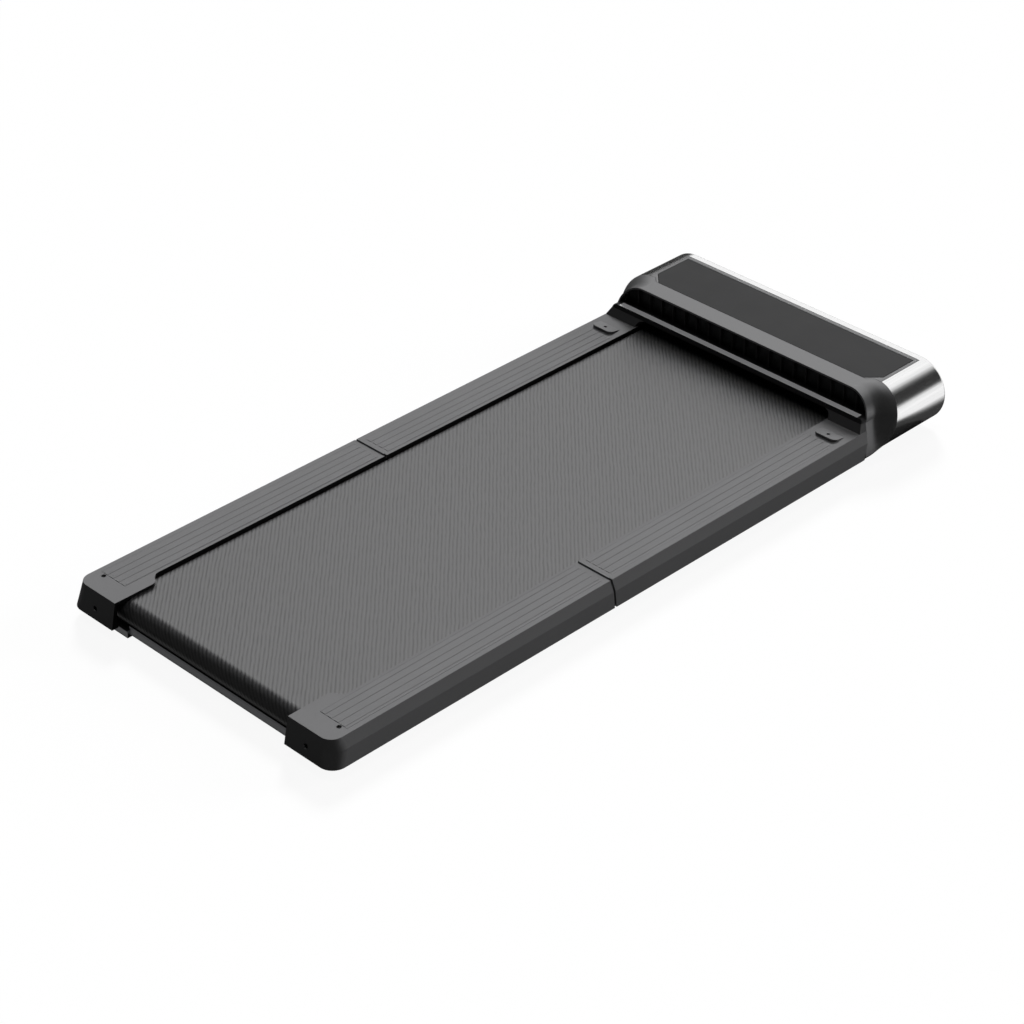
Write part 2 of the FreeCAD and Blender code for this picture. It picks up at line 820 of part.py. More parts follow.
def hood_lip():
    """Lip bar over the belt mouth: a sloped front, a ledge, and a flange behind it for the grille.

    In front of the rim it is as wide as the collar, and behind it fits inside.
    """
    outline = [
        (slope_at(lip_bottom), lip_bottom),
        (lip_x, lip_top),
        (lip_x + lip_ledge, lip_top),
        (lip_x + lip_ledge, lip_bottom + lip_flange),
        (lip_x + lip_depth, lip_bottom + lip_flange),
        (lip_x + lip_depth, lip_bottom),
    ]
    half = rim_half_width - slope_side_inset
    shape = bar_y(outline, -half, half)
    shape = rounded(shape, lip_end_radius, lambda p, e: near(p.z, lip_top) and near(abs(p.y), half))
    inside = block(rim_x, lip_x + lip_depth + overrun, -lip_half_width, lip_half_width, 0, overall_height)
    return shape.cut(ahead_of(rim_x - seat_clearance).cut(inside))


def lip_end():
    """Left lip end: a sloped wall from the rail top to the lip, with a round corner over the belt's edge.

    Behind the rim it is narrower, so that it passes inside the collar.
    """
    back = lip_x + lip_ledge
    inner = rail_inner_half_width + slope_margin
    foot = rail_top_half_width - slope_side_inset
    shoulder = rim_half_width - slope_side_inset
    radius = lip_bottom - mouth_corner_land - rail_top
    turn = radius * (1 - math.sqrt(0.5))
    arch = inner - radius
    crown = rail_top + radius
    outline = [(slope_x, rail_top), (slope_at(lip_bottom), lip_bottom), (back, lip_bottom), (back, rail_top)]
    front_view = [(inner, rail_top), (foot, rail_top), (shoulder, lip_bottom), (arch, lip_bottom),
                  (arch, crown)]
    corners = [V(slope_x, y, z) for y, z in front_view]
    edges = [line(a, b) for a, b in zip(corners, corners[1:])]
    edges.append(arc(corners[-1], V(slope_x, inner - turn, crown - turn), corners[0]))
    shape = Part.Face(Part.Wire(edges)).extrude(V(back - slope_x, 0, 0))
    shape = shape.common(bar_y(outline, arch - overrun, foot + overrun))
    mouth = block(slope_x, back + overrun, 0, rim_half_width - collar_wall * 2, 0, overall_height)
    return shape.cut(ahead_of(rim_x - seat_clearance).cut(mouth))


def vent_grille():
    """Upright black grille under the collar's top edge, with a row of fins."""
    x0 = grille_x
    z0 = lip_bottom + lip_flange
    z1 = overall_height - collar_wall
    shape = block(x0, x0 + grille_thickness, -lip_half_width, lip_half_width, z0, z1)
    roof = block(x0 - fin_depth, x0 + grille_thickness, -grille_top_half_width, grille_top_half_width,
                 overall_height - rim_corner_radius, z1)
    count = int(lip_half_width / fin_pitch)
    for i in range(-count, count + 1):
        y = i * fin_pitch
        shape = shape.fuse(block(x0 - fin_depth, x0 + grille_thickness, y - fin_thickness / 2,
                                 y + fin_thickness / 2, z0, z1))
    sides = collar_body(collar_wall + seat_clearance, overrun).fuse(roof)
    return shape.removeSplitter().common(sides)


# Drive

def hollow_roller(axle_radius):
    """A roller with closed ends bored for its axle, before it is put in place."""
    half = roller_half_length
    shape = rod_y(roller_radius, -half, half, 0, 0)
    inside = half - roller_end_thickness
    shape = shape.cut(rod_y(roller_radius - roller_wall, -inside, inside, 0, 0))
    return shape.cut(rod_y(axle_radius + running_clearance, -half - overrun, half + overrun, 0, 0))


def front_roller():
    """Front roller with the drive pulley on its left end."""
    pulley = rod_y(roller_pulley_radius, pulley_y, pulley_y + pulley_width, 0, 0)
    neck = rod_y(roller_radius - roller_wall, roller_half_length, pulley_y, 0, 0)
    bore = rod_y(front_axle_radius + running_clearance, 0, pulley_y + pulley_width + overrun, 0, 0)
    shape = hollow_roller(front_axle_radius).fuse(pulley.fuse(neck).cut(bore)).removeSplitter()
    return shape.translated(V(front_axis_x, 0, axis_z))


def rear_roller():
    return hollow_roller(rear_axle_radius).translated(V(rear_axis_x, 0, axis_z))


def front_axle():
    """Axle held in both front side tubes."""
    half = tube_outer_half_width + axle_end_inset / 2
    return rod_y(front_axle_radius, -half, half, front_axis_x, axis_z)


def rear_axle():
    """Axle carried in the rear tubes' slots, with a cross hole at each end for a tension bolt."""
    half = tube_outer_half_width - axle_end_inset
    shape = rod_y(rear_axle_radius, -half, half, rear_axis_x, axis_z)
    hole = bolt_radius + running_clearance
    for y in (tube_middle, -tube_middle):
        shape = shape.cut(rod_x(hole, rear_axis_x - bolt_reach, rear_axis_x + bolt_reach, y, axis_z))
    return shape


def tension_bolt():
    """Left tension bolt: a hexagon head behind the tube's end plate and a shank through the axle."""
    corners = [(tube_middle + bolt_head_radius * math.cos(math.radians(60 * i)),
                axis_z + bolt_head_radius * math.sin(math.radians(60 * i))) for i in range(6)]
    start = rear_tube_end - bolt_head_height
    head = bar_x(corners, start, rear_tube_end)
    shank = rod_x(bolt_radius, start, rear_axis_x + bolt_reach, tube_middle, axis_z)
    return head.fuse(shank).removeSplitter()


def walking_belt():
    """One endless belt round both rollers, over and under the decks."""
    def loop(radius):
        top = axis_z + radius
        low = axis_z - radius
        y = -belt_width / 2
        edges = [
            line(V(rear_axis_x, y, top), V(front_axis_x, y, top)),
            arc(V(front_axis_x, y, top), V(front_axis_x + radius, y, axis_z), V(front_axis_x, y, low)),
            line(V(front_axis_x, y, low), V(rear_axis_x, y, low)),
            arc(V(rear_axis_x, y, low), V(rear_axis_x - radius, y, axis_z), V(rear_axis_x, y, top)),
        ]
        return Part.Face(Part.Wire(edges)).extrude(V(0, belt_width, 0))
    return loop(belt_outer_radius).cut(loop(belt_outer_radius - belt_thickness))


def motor_housing():
    """Motor can with a bearing bore in its left end."""
    shape = rod_y(motor_radius, motor_right_end, motor_left_end, motor_x, motor_height)
    bore = rod_y(motor_shaft_radius + running_clearance, motor_left_end - motor_shaft_depth,
                 motor_left_end + overrun, motor_x, motor_height)
    return shape.cut(bore)


def motor_rotor():
    """Motor shaft with its flywheel and pulley."""
    start = motor_left_end - motor_shaft_depth + seat_clearance
    end = pulley_y + pulley_width
    shape = rod_y(motor_shaft_radius, start, end, motor_x, motor_height)
    wheel_start = motor_left_end + flywheel_gap
    flywheel = rod_y(flywheel_radius, wheel_start, wheel_start + flywheel_width, motor_x, motor_height)
    shape = shape.fuse(flywheel)
    shape = shape.fuse(rod_y(motor_pulley_radius, pulley_y, end, motor_x, motor_height))
    return shape.removeSplitter()


def motor_mount():
    """Saddle that carries the motor on the sleeve's floor."""
    middle = (motor_right_end + motor_left_end) / 2
    shape = block(motor_x - mount_length / 2, motor_x + mount_length / 2, middle - mount_width / 2,
                  middle + mount_width / 2, sleeve_floor, motor_height - motor_radius * mount_seat_share)
    return shape.cut(rod_y(motor_radius + running_clearance, motor_right_end - overrun,
                           motor_left_end + overrun, motor_x, motor_height))


def belt_loop(extra):
    """Outline round both pulleys, extra outside them, as a solid over the pulleys' width."""
    r1 = roller_pulley_radius + extra
    r2 = motor_pulley_radius + extra
    run = V(motor_x - front_axis_x, 0, motor_height - axis_z)
    distance = run.Length
    slope = math.atan2(run.z, run.x)
    lean = math.acos((r1 - r2) / distance)
    y = pulley_y

    def rim(x, z, r, angle):
        return V(x + r * math.cos(angle), y, z + r * math.sin(angle))

    a = rim(front_axis_x, axis_z, r1, slope + lean)
    b = rim(front_axis_x, axis_z, r1, slope + math.pi)
    c = rim(front_axis_x, axis_z, r1, slope - lean)
    d = rim(motor_x, motor_height, r2, slope - lean)
    e = rim(motor_x, motor_height, r2, slope)
    f = rim(motor_x, motor_height, r2, slope + lean)
    wire = Part.Wire([arc(a, b, c), line(c, d), arc(d, e, f), line(f, a)])
    return Part.Face(wire).extrude(V(0, pulley_width, 0))


def drive_belt():
    """Ribbed belt from the motor pulley to the roller pulley."""
    return belt_loop(seat_clearance + drive_belt_thickness).cut(belt_loop(seat_clearance))


def controller_board():
    """Motor controller: a board on four standoffs with a heat sink."""
    x0 = board_front - board_length
    x1 = board_front
    y0 = board_left_end - board_width
    y1 = board_left_end
    z0 = sleeve_floor + standoff_height
    shape = block(x0, x1, y0, y1, z0, z0 + board_thickness)
    for x in (x0 + standoff_inset, x1 - standoff_inset):
        for y in (y0 + standoff_inset, y1 - standoff_inset):
            shape = shape.fuse(rod_z(standoff_radius, sleeve_floor, z0, x, y))
    sink = block(x0 + heat_sink_margin, x1 - heat_sink_margin, y0 + heat_sink_margin, y1 - heat_sink_margin,
                 z0 + board_thickness, z0 + board_thickness + heat_sink_height)
    return shape.fuse(sink).removeSplitter()


# Power inlet and rocker

def inlet_block(margin):
    """The space that the power inlet takes in the front wall, grown by margin sideways."""
    half_width = inlet_width / 2 + margin
    half_height = inlet_height / 2 + margin
    front = inlet_face if margin == 0 else front_x + overrun
    return block(inlet_back, front, inlet_centre_y - half_width, inlet_centre_y + half_width,
                 inlet_centre_z - half_height, inlet_centre_z + half_height)


def power_inlet():
    """Inlet block with a mains socket, and an opening with pivot holes for the rocker."""
    half_width = inlet_width / 2 + inlet_flange
    half_height = inlet_height / 2 + inlet_flange
    flange = block(inlet_back, front_x - front_wall, inlet_centre_y - half_width, inlet_centre_y + half_width,
                   inlet_centre_z - half_height, inlet_centre_z + half_height)
    shape = inlet_block(0).fuse(flange).removeSplitter()
    socket_y = inlet_centre_y + socket_offset
    shape = shape.cut(block(inlet_face - socket_depth, inlet_face + overrun, socket_y - socket_width / 2,
                            socket_y + socket_width / 2, inlet_centre_z - socket_height / 2,
                            inlet_centre_z + socket_height / 2))
    half_width = rocker_width / 2 + fit_clearance
    half_length = rocker_length / 2 + rocker_gap
    shape = shape.cut(block(inlet_back - overrun, inlet_face + overrun, rocker_y - half_width,
                            rocker_y + half_width, inlet_centre_z - half_length,
                            inlet_centre_z + half_length))
    reach = half_width + rocker_pin_length
    return shape.cut(rod_y(rocker_pin_radius + running_clearance, rocker_y - reach, rocker_y + reach,
                           rocker_x, inlet_centre_z))


def power_rocker():
    """Rocker with a shallow V face and two pivot stubs, tipped to its off side."""
    half = rocker_length / 2
    low = inlet_centre_z - half
    high = inlet_centre_z + half
    outline = [(rocker_x - rocker_back, low), (rocker_x + rocker_rise, low),
               (rocker_x + rocker_waist, inlet_centre_z), (rocker_x + rocker_rise, high),
               (rocker_x - rocker_back, high)]
    shape = bar_y(outline, rocker_y - rocker_width / 2, rocker_y + rocker_width / 2)
    reach = rocker_width / 2 + rocker_pin_length
    shape = shape.fuse(rod_y(rocker_pin_radius, rocker_y - reach, rocker_y + reach, rocker_x, inlet_centre_z))
    return shape.removeSplitter().rotated(V(rocker_x, rocker_y, inlet_centre_z), V(0, 1, 0), rocker_tilt_deg)


# Wheels and feet

def transport_wheel():
    """Left transport wheel."""
    y = wheel_half_spacing
    shape = rod_y(wheel_radius, y - wheel_width / 2, y + wheel_width / 2, wheel_x, wheel_z)
    bore = rod_y(wheel_pin_radius + running_clearance, y - wheel_width, y + wheel_width, wheel_x, wheel_z)
    return shape.cut(bore)


def wheel_bracket():
    """Left wheel bracket: a foot on the sleeve's floor, two arms beside the wheel and a pin."""
    y = wheel_half_spacing
    inner = wheel_width / 2 + bracket_gap
    outer = bracket_half_width
    low = wheel_z - bracket_arm_height / 2
    high = wheel_z + bracket_arm_height / 2
    shape = block(bracket_back - bracket_arm, bracket_back, y - outer, y + outer, sleeve_floor, high)
    for side in (-1, 1):
        a = y + side * inner
        b = y + side * outer
        shape = shape.fuse(block(bracket_back, wheel_x + bracket_nose, min(a, b), max(a, b), low, high))
    shape = shape.fuse(rod_y(wheel_pin_radius, y - outer, y + outer, wheel_x, wheel_z))
    return shape.removeSplitter()


def front_foot():
    """Left pad under the hood."""
    return rod_z(foot_radius, 0, hood_floor_gap, front_x - front_foot_setback,
                 hood_half_width - front_foot_inset)


def middle_foot():
    """Left foot under the front half's side tube, beside the fold."""
    return rod_z(middle_foot_radius, 0, tube_bottom, fold_x + middle_foot_setback, tube_middle)


def rear_foot():
    """Left rear foot: a pad that reaches in under the belt, and a post up to the side tube."""
    x0 = rear_top_x + rear_foot_setback
    x1 = x0 + rear_foot_length
    pad = block(x0, x1, rear_foot_inner_half_width, tube_outer_half_width, 0, cross_bar_top)
    post = block(x0, x1, tube_inner_half_width, tube_outer_half_width, 0, tube_bottom)
    return pad.fuse(post).removeSplitter()


def rear_cross_bar():
    """Angle bar between the rear feet, just under the belt, with its upright wall behind the belt."""
    x0 = rear_top_x + cross_bar_setback
    x1 = x0 + cross_bar_wall
    x2 = x0 + cross_bar_length
    z0 = cross_bar_top - cross_bar_height
    z1 = cross_bar_top + cross_bar_lip
    outline = [(x0, z0), (x2, z0), (x2, cross_bar_top), (x1, cross_bar_top), (x1, z1), (x0, z1)]
    return bar_y(outline, -rear_foot_inner_half_width, rear_foot_inner_half_width)


# The whole part

def build():
    """Make every piece under its node's name."""
    front_deck_end = front_axis_x - roller_pulley_radius - drive_belt_thickness - deck_end_gap
    rear_deck_end = rear_axis_x + belt_outer_radius + deck_end_gap
    add_pair("front_rail_cover", front_rail_cover())
    add_pair("rear_rail_cover", rear_rail_cover())
    add_pair("front_grip_strip", grip_strip(front_fold_face + strip_fold_gap, front_strip_end))
    add_pair("rear_grip_strip", grip_strip(rear_top_x + strip_rear_setback, rear_fold_face - strip_fold_gap))
    add_pair("front_side_tube", front_side_tube())
    add_pair("rear_side_tube", rear_side_tube())
    front_tubes = (fold_x + cross_tube_setback, front_axis_x - cross_tube_setback)
    rear_tubes = (rear_axis_x + cross_tube_setback, fold_x - cross_tube_setback)
    for i in range(2):
        pieces["front_cross_tube_%d" % (i + 1)] = cross_tube(front_tubes[i])
        pieces["rear_cross_tube_%d" % (i + 1)] = cross_tube(rear_tubes[i])
    pieces["front_deck"] = deck(front_fold_face + cover_wall + seat_clearance, front_deck_end)
    pieces["rear_deck"] = deck(rear_deck_end, rear_fold_face - cover_wall - seat_clearance)
    add_pair("front_hinge_leaf", hinge_leaf(1, 0))
    add_pair("rear_hinge_leaf", hinge_leaf(-1, 1))
    add_pair("hinge_pin", hinge_pin())
    add_pair("fold_buffer", fold_buffer())
    pieces["hood_sleeve"] = hood_sleeve()
    pieces["hood_collar"] = hood_collar()
    pieces["panel_frame"] = panel_frame()
    pieces["top_panel"] = top_panel()
    pieces["hood_lip"] = hood_lip()
    add_pair("lip_end", lip_end())
    pieces["vent_grille"] = vent_grille()
    pieces["front_roller"] = front_roller()
    pieces["rear_roller"] = rear_roller()
    pieces["front_axle"] = front_axle()
    pieces["rear_axle"] = rear_axle()
    add_pair("tension_bolt", tension_bolt())
    pieces["walking_belt"] = walking_belt()
    pieces["motor_housing"] = motor_housing()
    pieces["motor_rotor"] = motor_rotor()
    pieces["motor_mount"] = motor_mount()
    pieces["drive_belt"] = drive_belt()
    pieces["controller_board"] = controller_board()
    pieces["power_inlet"] = power_inlet()
    pieces["power_rocker"] = power_rocker()
    add_pair("transport_wheel", transport_wheel())
    add_pair("wheel_bracket", wheel_bracket())
    add_pair("front_foot", front_foot())
    add_pair("middle_foot", middle_foot())
    add_pair("rear_foot", rear_foot())
    pieces["rear_cross_bar"] = rear_cross_bar()


def write():
    """Write each piece to its own file."""
    os.makedirs("parts", exist_ok=True)
    for name, shape in pieces.items():
        solids = shape.Solids
        whole = solids[0] if len(solids) == 1 else Part.makeCompound(solids)
        print("%-26s solids %d valid %s volume %.1f" % (name, len(solids), whole.isValid(), whole.Volume))
        whole.exportStep("parts/%s.step" % name)


build()
write()
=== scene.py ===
"""A folding walking pad, dressed for the studio round its fixed frame, in metres."""
import json
import math

import bmesh
import bpy
from bpy.props import FloatProperty, FloatVectorProperty, IntProperty, PointerProperty
from bpy.types import Operator, Panel, PropertyGroup
from mathutils import Matrix, Vector


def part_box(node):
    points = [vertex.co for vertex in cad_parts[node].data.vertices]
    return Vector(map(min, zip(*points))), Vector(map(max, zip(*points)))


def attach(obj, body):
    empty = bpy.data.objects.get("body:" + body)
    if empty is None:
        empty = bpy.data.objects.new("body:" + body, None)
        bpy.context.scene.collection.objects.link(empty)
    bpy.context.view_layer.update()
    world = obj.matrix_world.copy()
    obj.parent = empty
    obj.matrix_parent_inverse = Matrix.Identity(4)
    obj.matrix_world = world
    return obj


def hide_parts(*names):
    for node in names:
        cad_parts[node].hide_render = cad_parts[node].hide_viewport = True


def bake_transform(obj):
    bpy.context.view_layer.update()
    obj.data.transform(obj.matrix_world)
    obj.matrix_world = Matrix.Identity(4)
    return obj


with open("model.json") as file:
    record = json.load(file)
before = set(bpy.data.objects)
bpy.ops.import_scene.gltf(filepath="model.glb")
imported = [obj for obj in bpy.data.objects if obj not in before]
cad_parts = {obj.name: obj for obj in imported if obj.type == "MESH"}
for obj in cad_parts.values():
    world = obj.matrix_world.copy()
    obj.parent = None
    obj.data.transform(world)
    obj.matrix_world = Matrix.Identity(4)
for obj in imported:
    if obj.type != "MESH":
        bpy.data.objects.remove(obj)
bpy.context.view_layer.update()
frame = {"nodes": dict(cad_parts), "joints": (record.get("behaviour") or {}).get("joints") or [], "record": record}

bl_info = {
    "name": "Walking pad",
    "version": (1, 0, 0),
    "blender": (4, 5, 0),
    "location": "3D View > Sidebar > Walking pad",
    "description": "Builds the finished walking pad round its frame",
    "category": "Object",
}

MM = 0.001
MERGE = 0.01 * MM

# Bends between two faces: joined as flat, a faint crease, an edge to round, and an edge that shades sharp
FLAT = math.radians(0.5)
FAINT = math.radians(8)
SHARP = math.radians(24)
SMOOTH = math.radians(38)

# How far a face's normal points along an axis when the face looks that way
FACING = 0.9

# Screw heads: the edge's radius and the socket's half width as shares of the head's radius, the socket's
# depth as a share of its height, and the number of sides that make it round
HEAD_EDGE_SHARE = 0.2
SOCKET_SHARE = 0.45
SOCKET_DEPTH_SHARE = 0.6
HEAD_SIDES = 24

# The period of a wave texture of scale 1
WAVE_PERIOD = math.pi / 10

# The floor's half size in metres, how far white hides the shadows on it, and its colour as faces see it
FLOOR_REACH = 14.0
FLOOR_WASH = 0.92
FLOOR_DIM = (0.04, 0.04, 0.04, 1.0)
WHITE = (1.0, 1.0, 1.0, 1.0)

# Cards on the floor, in metres, and in the sky, by direction. Each has its level and its soft edges:
# the axis, where the card starts to show, and where it shows in full
UNDER_PAD = (1.0, (("Y", -0.27, -0.23), ("Y", 0.27, 0.23), ("X", -0.64, -0.60), ("X", 0.68, 0.64)))
BESIDE_HOOD = (1.0, (("Y", -0.35, -0.46), ("X", 0.69, 0.78)))
BEFORE_HOOD = (0.45, (("X", 0.78, 0.92), ("Y", 0.60, 0.45)))
BEHIND_BAR = (0.16, (("X", -0.694, -0.700), ("X", -0.720, -0.714)))
HIGH_RIGHT = (1.0, (("Z", 0.10, 0.27), ("Y", -0.06, -0.38)))
LOW_LEFT = (1.0, (("Z", 0.42, 0.30), ("Y", 0.60, 0.72)))
REAR = (1.0, (("X", 0.42, 0.12),))

# How bright the dark cards in the sky are
DARK_SKY = 0.03

RECORD = frame["record"]
BODY_OF = {node: body for body, nodes in RECORD["behaviour"]["bodies"].items() for node in nodes}
SLOT_OF = {part["node"]: part["material_slot"] for part in RECORD["subparts"]}
FOLD = Vector(next(j["pos_m"] for j in frame["joints"] if j["name"] == "fold"))


def linear(code):
    """An sRGB hex colour as linear red, green, blue and alpha."""
    parts = [int(code[i:i + 2], 16) / 255 for i in (1, 3, 5)]
    return [c / 12.92 if c <= 0.04045 else ((c + 0.055) / 1.055) ** 2.4 for c in parts] + [1.0]


def colour(name, code, words):
    """A colour that a user may change."""
    return FloatVectorProperty(name=name, description=words, subtype="COLOR", size=4, min=0, max=1,
                               default=linear(code))


def length(name, size, words):
    """A length that a user may change."""
    return FloatProperty(name=name, description=words, default=size, unit="LENGTH", precision=5)


class PadSizes(PropertyGroup):
    """Sizes of the details that the frame leaves plain."""
    rail_edge: length("Rail edge", 1.4 * MM, "Radius along the edges of the moulded rail covers")
    facet_drop: length("Facet drop", 18.5 * MM, "How far the crease along the rail's side lies below its top")
    rib_edge: length("Rib edge", 0.42 * MM, "Radius along the edges of the grip ribs")
    metal_edge: length("Metal edge", 0.5 * MM, "Radius along the edges of cut metal and fine mouldings")
    trim_edge: length("Trim edge", 1.0 * MM, "Radius along the edges of the top panel and its frame")
    plastic_edge: length("Plastic edge", 0.8 * MM, "Radius along the edges of small mouldings")
    rubber_edge: length("Rubber edge", 1.2 * MM, "Radius along the edges of feet and wheels")
    belt_edge: length("Belt edge", 0.4 * MM, "Radius along the belt's cut edges")
    belt_thickness: length("Belt thickness", 1.6 * MM, "Thickness of the walking belt")
    cap_wall: length("Cap wall", 3 * MM, "Wall of the corner caps")
    cap_lean: FloatProperty(name="Cap lean", description="How far the caps' rear faces lean forward",
                            default=math.atan2(10, 47), subtype="ANGLE")
    cap_screw_setback: length("Cap screw setback", 45.6 * MM, "From the rear end to the screw in a cap's top")
    cap_screw_inset: length("Cap screw inset", 34.3 * MM, "From the cap's foot to the screw in its top")
    cap_screw_radius: length("Cap screw radius", 3.7 * MM, "Radius of the screw head in a cap's top")
    cap_screw_height: length("Cap screw height", 1.4 * MM, "Height of the screw head in a cap's top")
    flange_radius: length("Flange radius", 6 * MM, "Radius of the flange under a cap's screw")
    flange_thickness: length("Flange thickness", 1.2 * MM, "Thickness of the flange under a cap's screw")
    buffer_screw_radius: length("Buffer screw radius", 2.9 * MM, "Radius of the screw head in a fold buffer")
    buffer_screw_height: length("Buffer screw height", 1.6 * MM, "Height of the screw head in a fold buffer")
    # Painted light: the near-white top of the lip stops short of its ends, where the lamps reach it in full
    ledge_inset: length("Ledge inset", 13 * MM, "How far the lip's silver trim stops short of its ends")
    bar_trim_height: length("Bar trim height", 3.5 * MM, "Height of the trim along the rear bar's top")
    bar_trim_thickness: length("Bar trim thickness", 1.8 * MM,
                               "Thickness of the trim along the rear bar's top")
    belt_bend: length("Belt bend", 26 * MM, "Half length of belt that turns at the fold")
    bend_steps: IntProperty(name="Bend steps", description="Steps of the belt across the fold", default=28)
    straight_steps: IntProperty(name="Straight steps", description="Steps of the belt along a straight run",
                                default=8)
    roller_steps: IntProperty(name="Roller steps", description="Steps of the belt round a roller", default=24)


class PadColours(PropertyGroup):
    """Colours of the finishes."""
    rail: colour("Rails", "#6b6b6c", "Moulded rail covers, grip strips and fold buffers")
    collar: colour("Collar", "#838384", "Collar of the hood and frame of its panel")
    lip_end: colour("Lip ends", "#4a4a4b", "Ends of the lip over the belt mouth")
    lip: colour("Lip", "#1c1c1d", "Front of the lip over the belt mouth")
    # Painted light: near white, so that the lip's top, in the hood's shade, renders pale
    ledge: colour("Ledge", "#ececee", "Silver trim on top of the lip")
    belt: colour("Belt", "#353536", "Walking belt")
    metal: colour("Sleeve", "#f9f9f9", "Bright metal sleeve of the hood")
    panel: colour("Panel", "#161617", "Panel on top of the hood")
    # The black also serves as painted shade on the rail covers' walls beside the belt
    black: colour("Black plastic", "#0c0c0d", "Black mouldings and the walls beside the belt")
    grille: colour("Grille", "#454546", "Vent grille")
    rubber: colour("Rubber", "#141415", "Feet, wheels and drive belt")
    steel: colour("Steel", "#9b9c9e", "Rollers, axles and hinges")
    paint: colour("Powder coat", "#17181a", "Tubes and brackets")
    board: colour("Deck board", "#1d1a18", "Laminate on the deck boards")
    floor: colour("Floor", "#f6f6f6", "Studio floor")


class PadStage(PropertyGroup):
    """Camera and light."""
    camera_place: FloatVectorProperty(name="Camera", description="Where the camera stands", unit="LENGTH",
                                      default=(-2.8948, -2.8646, 2.6676))
    camera_aim: FloatVectorProperty(name="Aim", description="The direction in which the camera looks",
                                    subtype="DIRECTION", default=(0.5916, 0.5921, -0.5472))
    lens: FloatProperty(name="Lens", description="Focal length on a 36 mm sensor, in millimetres",
                        default=102.3)
    key_way: FloatVectorProperty(name="Key direction", subtype="DIRECTION", default=(1.0, 0.8, 1.0),
                                 description="The way to the soft light at the back left")
    key_level: FloatProperty(name="Key", description="Light that the key lays on a level face", default=0.74)
    key_spread: FloatProperty(name="Key spread", description="The angle under which the key is seen",
                              subtype="ANGLE", default=math.radians(14))
    top_level: FloatProperty(name="Top", description="Light that the top lamp lays on a level face",
                             default=0.18)
    top_spread: FloatProperty(name="Top spread", description="The angle under which the top lamp is seen",
                              subtype="ANGLE", default=math.radians(30))
    fill_way: FloatVectorProperty(name="Fill direction", subtype="DIRECTION", default=(1.7, -0.8, 0.5),
                                  description="The way to the soft light at the front right")
    fill_level: FloatProperty(name="Fill", description="Light that the fill lays on a face turned to it",
                              default=0.57)
    fill_spread: FloatProperty(name="Fill spread", description="The angle under which the fill is seen",
                               subtype="ANGLE", default=math.radians(20))
    ambient: FloatProperty(name="Ambient", description="Light from all round", default=0.01)


def add(tree, kind, inputs=None, **settings):
    """Add a node: settings are its own values, and inputs gives a value or another node's socket."""
    node = tree.nodes.new(kind)
    for name, value in settings.items():
        setattr(node, name, value)
    for key, value in (inputs or {}).items():
        if isinstance(value, bpy.types.NodeSocket):
            tree.links.new(value, node.inputs[key])
        else:
            node.inputs[key].default_value = value
    return node


def new_material(name, **sockets):
    """A material with one principled shader, and the tree to draw its patterns in."""
    material = bpy.data.materials.new(name)
    material.use_nodes = True
    tree = material.node_tree
    shader = tree.nodes["Principled BSDF"]
    for key, value in sockets.items():
        shader.inputs[key.replace("_", " ")].default_value = value
    return material, tree, shader


def tinted(tree, factor, base, dark, light):
    """The socket of a colour that runs from dark to light times the base as factor goes from 0 to 1."""
    low = [c * dark for c in base[:3]] + [1.0]
    high = [min(1.0, c * light) for c in base[:3]] + [1.0]
    # Inputs 6 and 7 and output 2 are the sockets that hold colours
    return add(tree, "ShaderNodeMix", {"Factor": factor, 6: low, 7: high}, data_type="RGBA").outputs[2]


def cards(tree, place, laid):
    """The socket of some soft-edged cards laid over each other, where the highest level shows."""
    shown = 0.0
    for level, edges in laid:
        inside = level
        for axis, start, full in edges:
            edge = add(tree, "ShaderNodeMapRange", {"Value": place.outputs[axis], "From Min": start,
                                                    "From Max": full}, interpolation_type="SMOOTHSTEP")
            inside = add(tree, "ShaderNodeMath", {0: inside, 1: edge.outputs[0]},
                         operation="MULTIPLY").outputs[0]
        shown = add(tree, "ShaderNodeMath", {0: shown, 1: inside}, operation="MAXIMUM").outputs[0]
    return shown


def moulded_abs(name, base, grain, roughness, specular):
    """ABS from a spark-eroded mould: an even matte skin with a fine stipple and faint flow marks.

    The stipple is about 0.5 mm on the real skin, drawn coarser so that it shows.
    """
    material, tree, shader = new_material(name, Roughness=roughness, IOR=1.5, Specular_IOR_Level=specular)
    flow_size = 90 * MM
    place = add(tree, "ShaderNodeTexCoord").outputs["Object"]
    stipple = add(tree, "ShaderNodeTexNoise", {"Vector": place, "Scale": 1 / grain, "Detail": 3.0,
                                               "Roughness": 0.6})
    flow = add(tree, "ShaderNodeTexNoise", {"Vector": place, "Scale": 1 / flow_size, "Detail": 2.0})
    both = add(tree, "ShaderNodeMath", {0: stipple.outputs["Fac"], 1: flow.outputs["Fac"]},
               operation="MULTIPLY")
    tree.links.new(tinted(tree, both.outputs[0], base, 0.94, 1.16), shader.inputs["Base Color"])
    bump = add(tree, "ShaderNodeBump", {"Height": stipple.outputs["Fac"], "Strength": 0.12,
                                        "Distance": 0.15 * MM})
    tree.links.new(bump.outputs["Normal"], shader.inputs["Normal"])
    return material


def flake_lacquer(name, base, metallic):
    """Lacquer with metal flake: pale where it mirrors the light, and near black where it turns away.

    The flakes are about 0.1 mm on the real skin, drawn coarser so that they show.
    """
    material, tree, shader = new_material(name, Metallic=metallic, Roughness=0.42)
    place = add(tree, "ShaderNodeTexCoord").outputs["Object"]
    flake = add(tree, "ShaderNodeTexNoise", {"Vector": place, "Scale": 1 / (1.5 * MM), "Detail": 2.0})
    tree.links.new(tinted(tree, flake.outputs["Fac"], base, 0.9, 1.1), shader.inputs["Base Color"])
    bump = add(tree, "ShaderNodeBump", {"Height": flake.outputs["Fac"], "Strength": 0.08,
                                        "Distance": 0.1 * MM})
    tree.links.new(bump.outputs["Normal"], shader.inputs["Normal"])
    return material


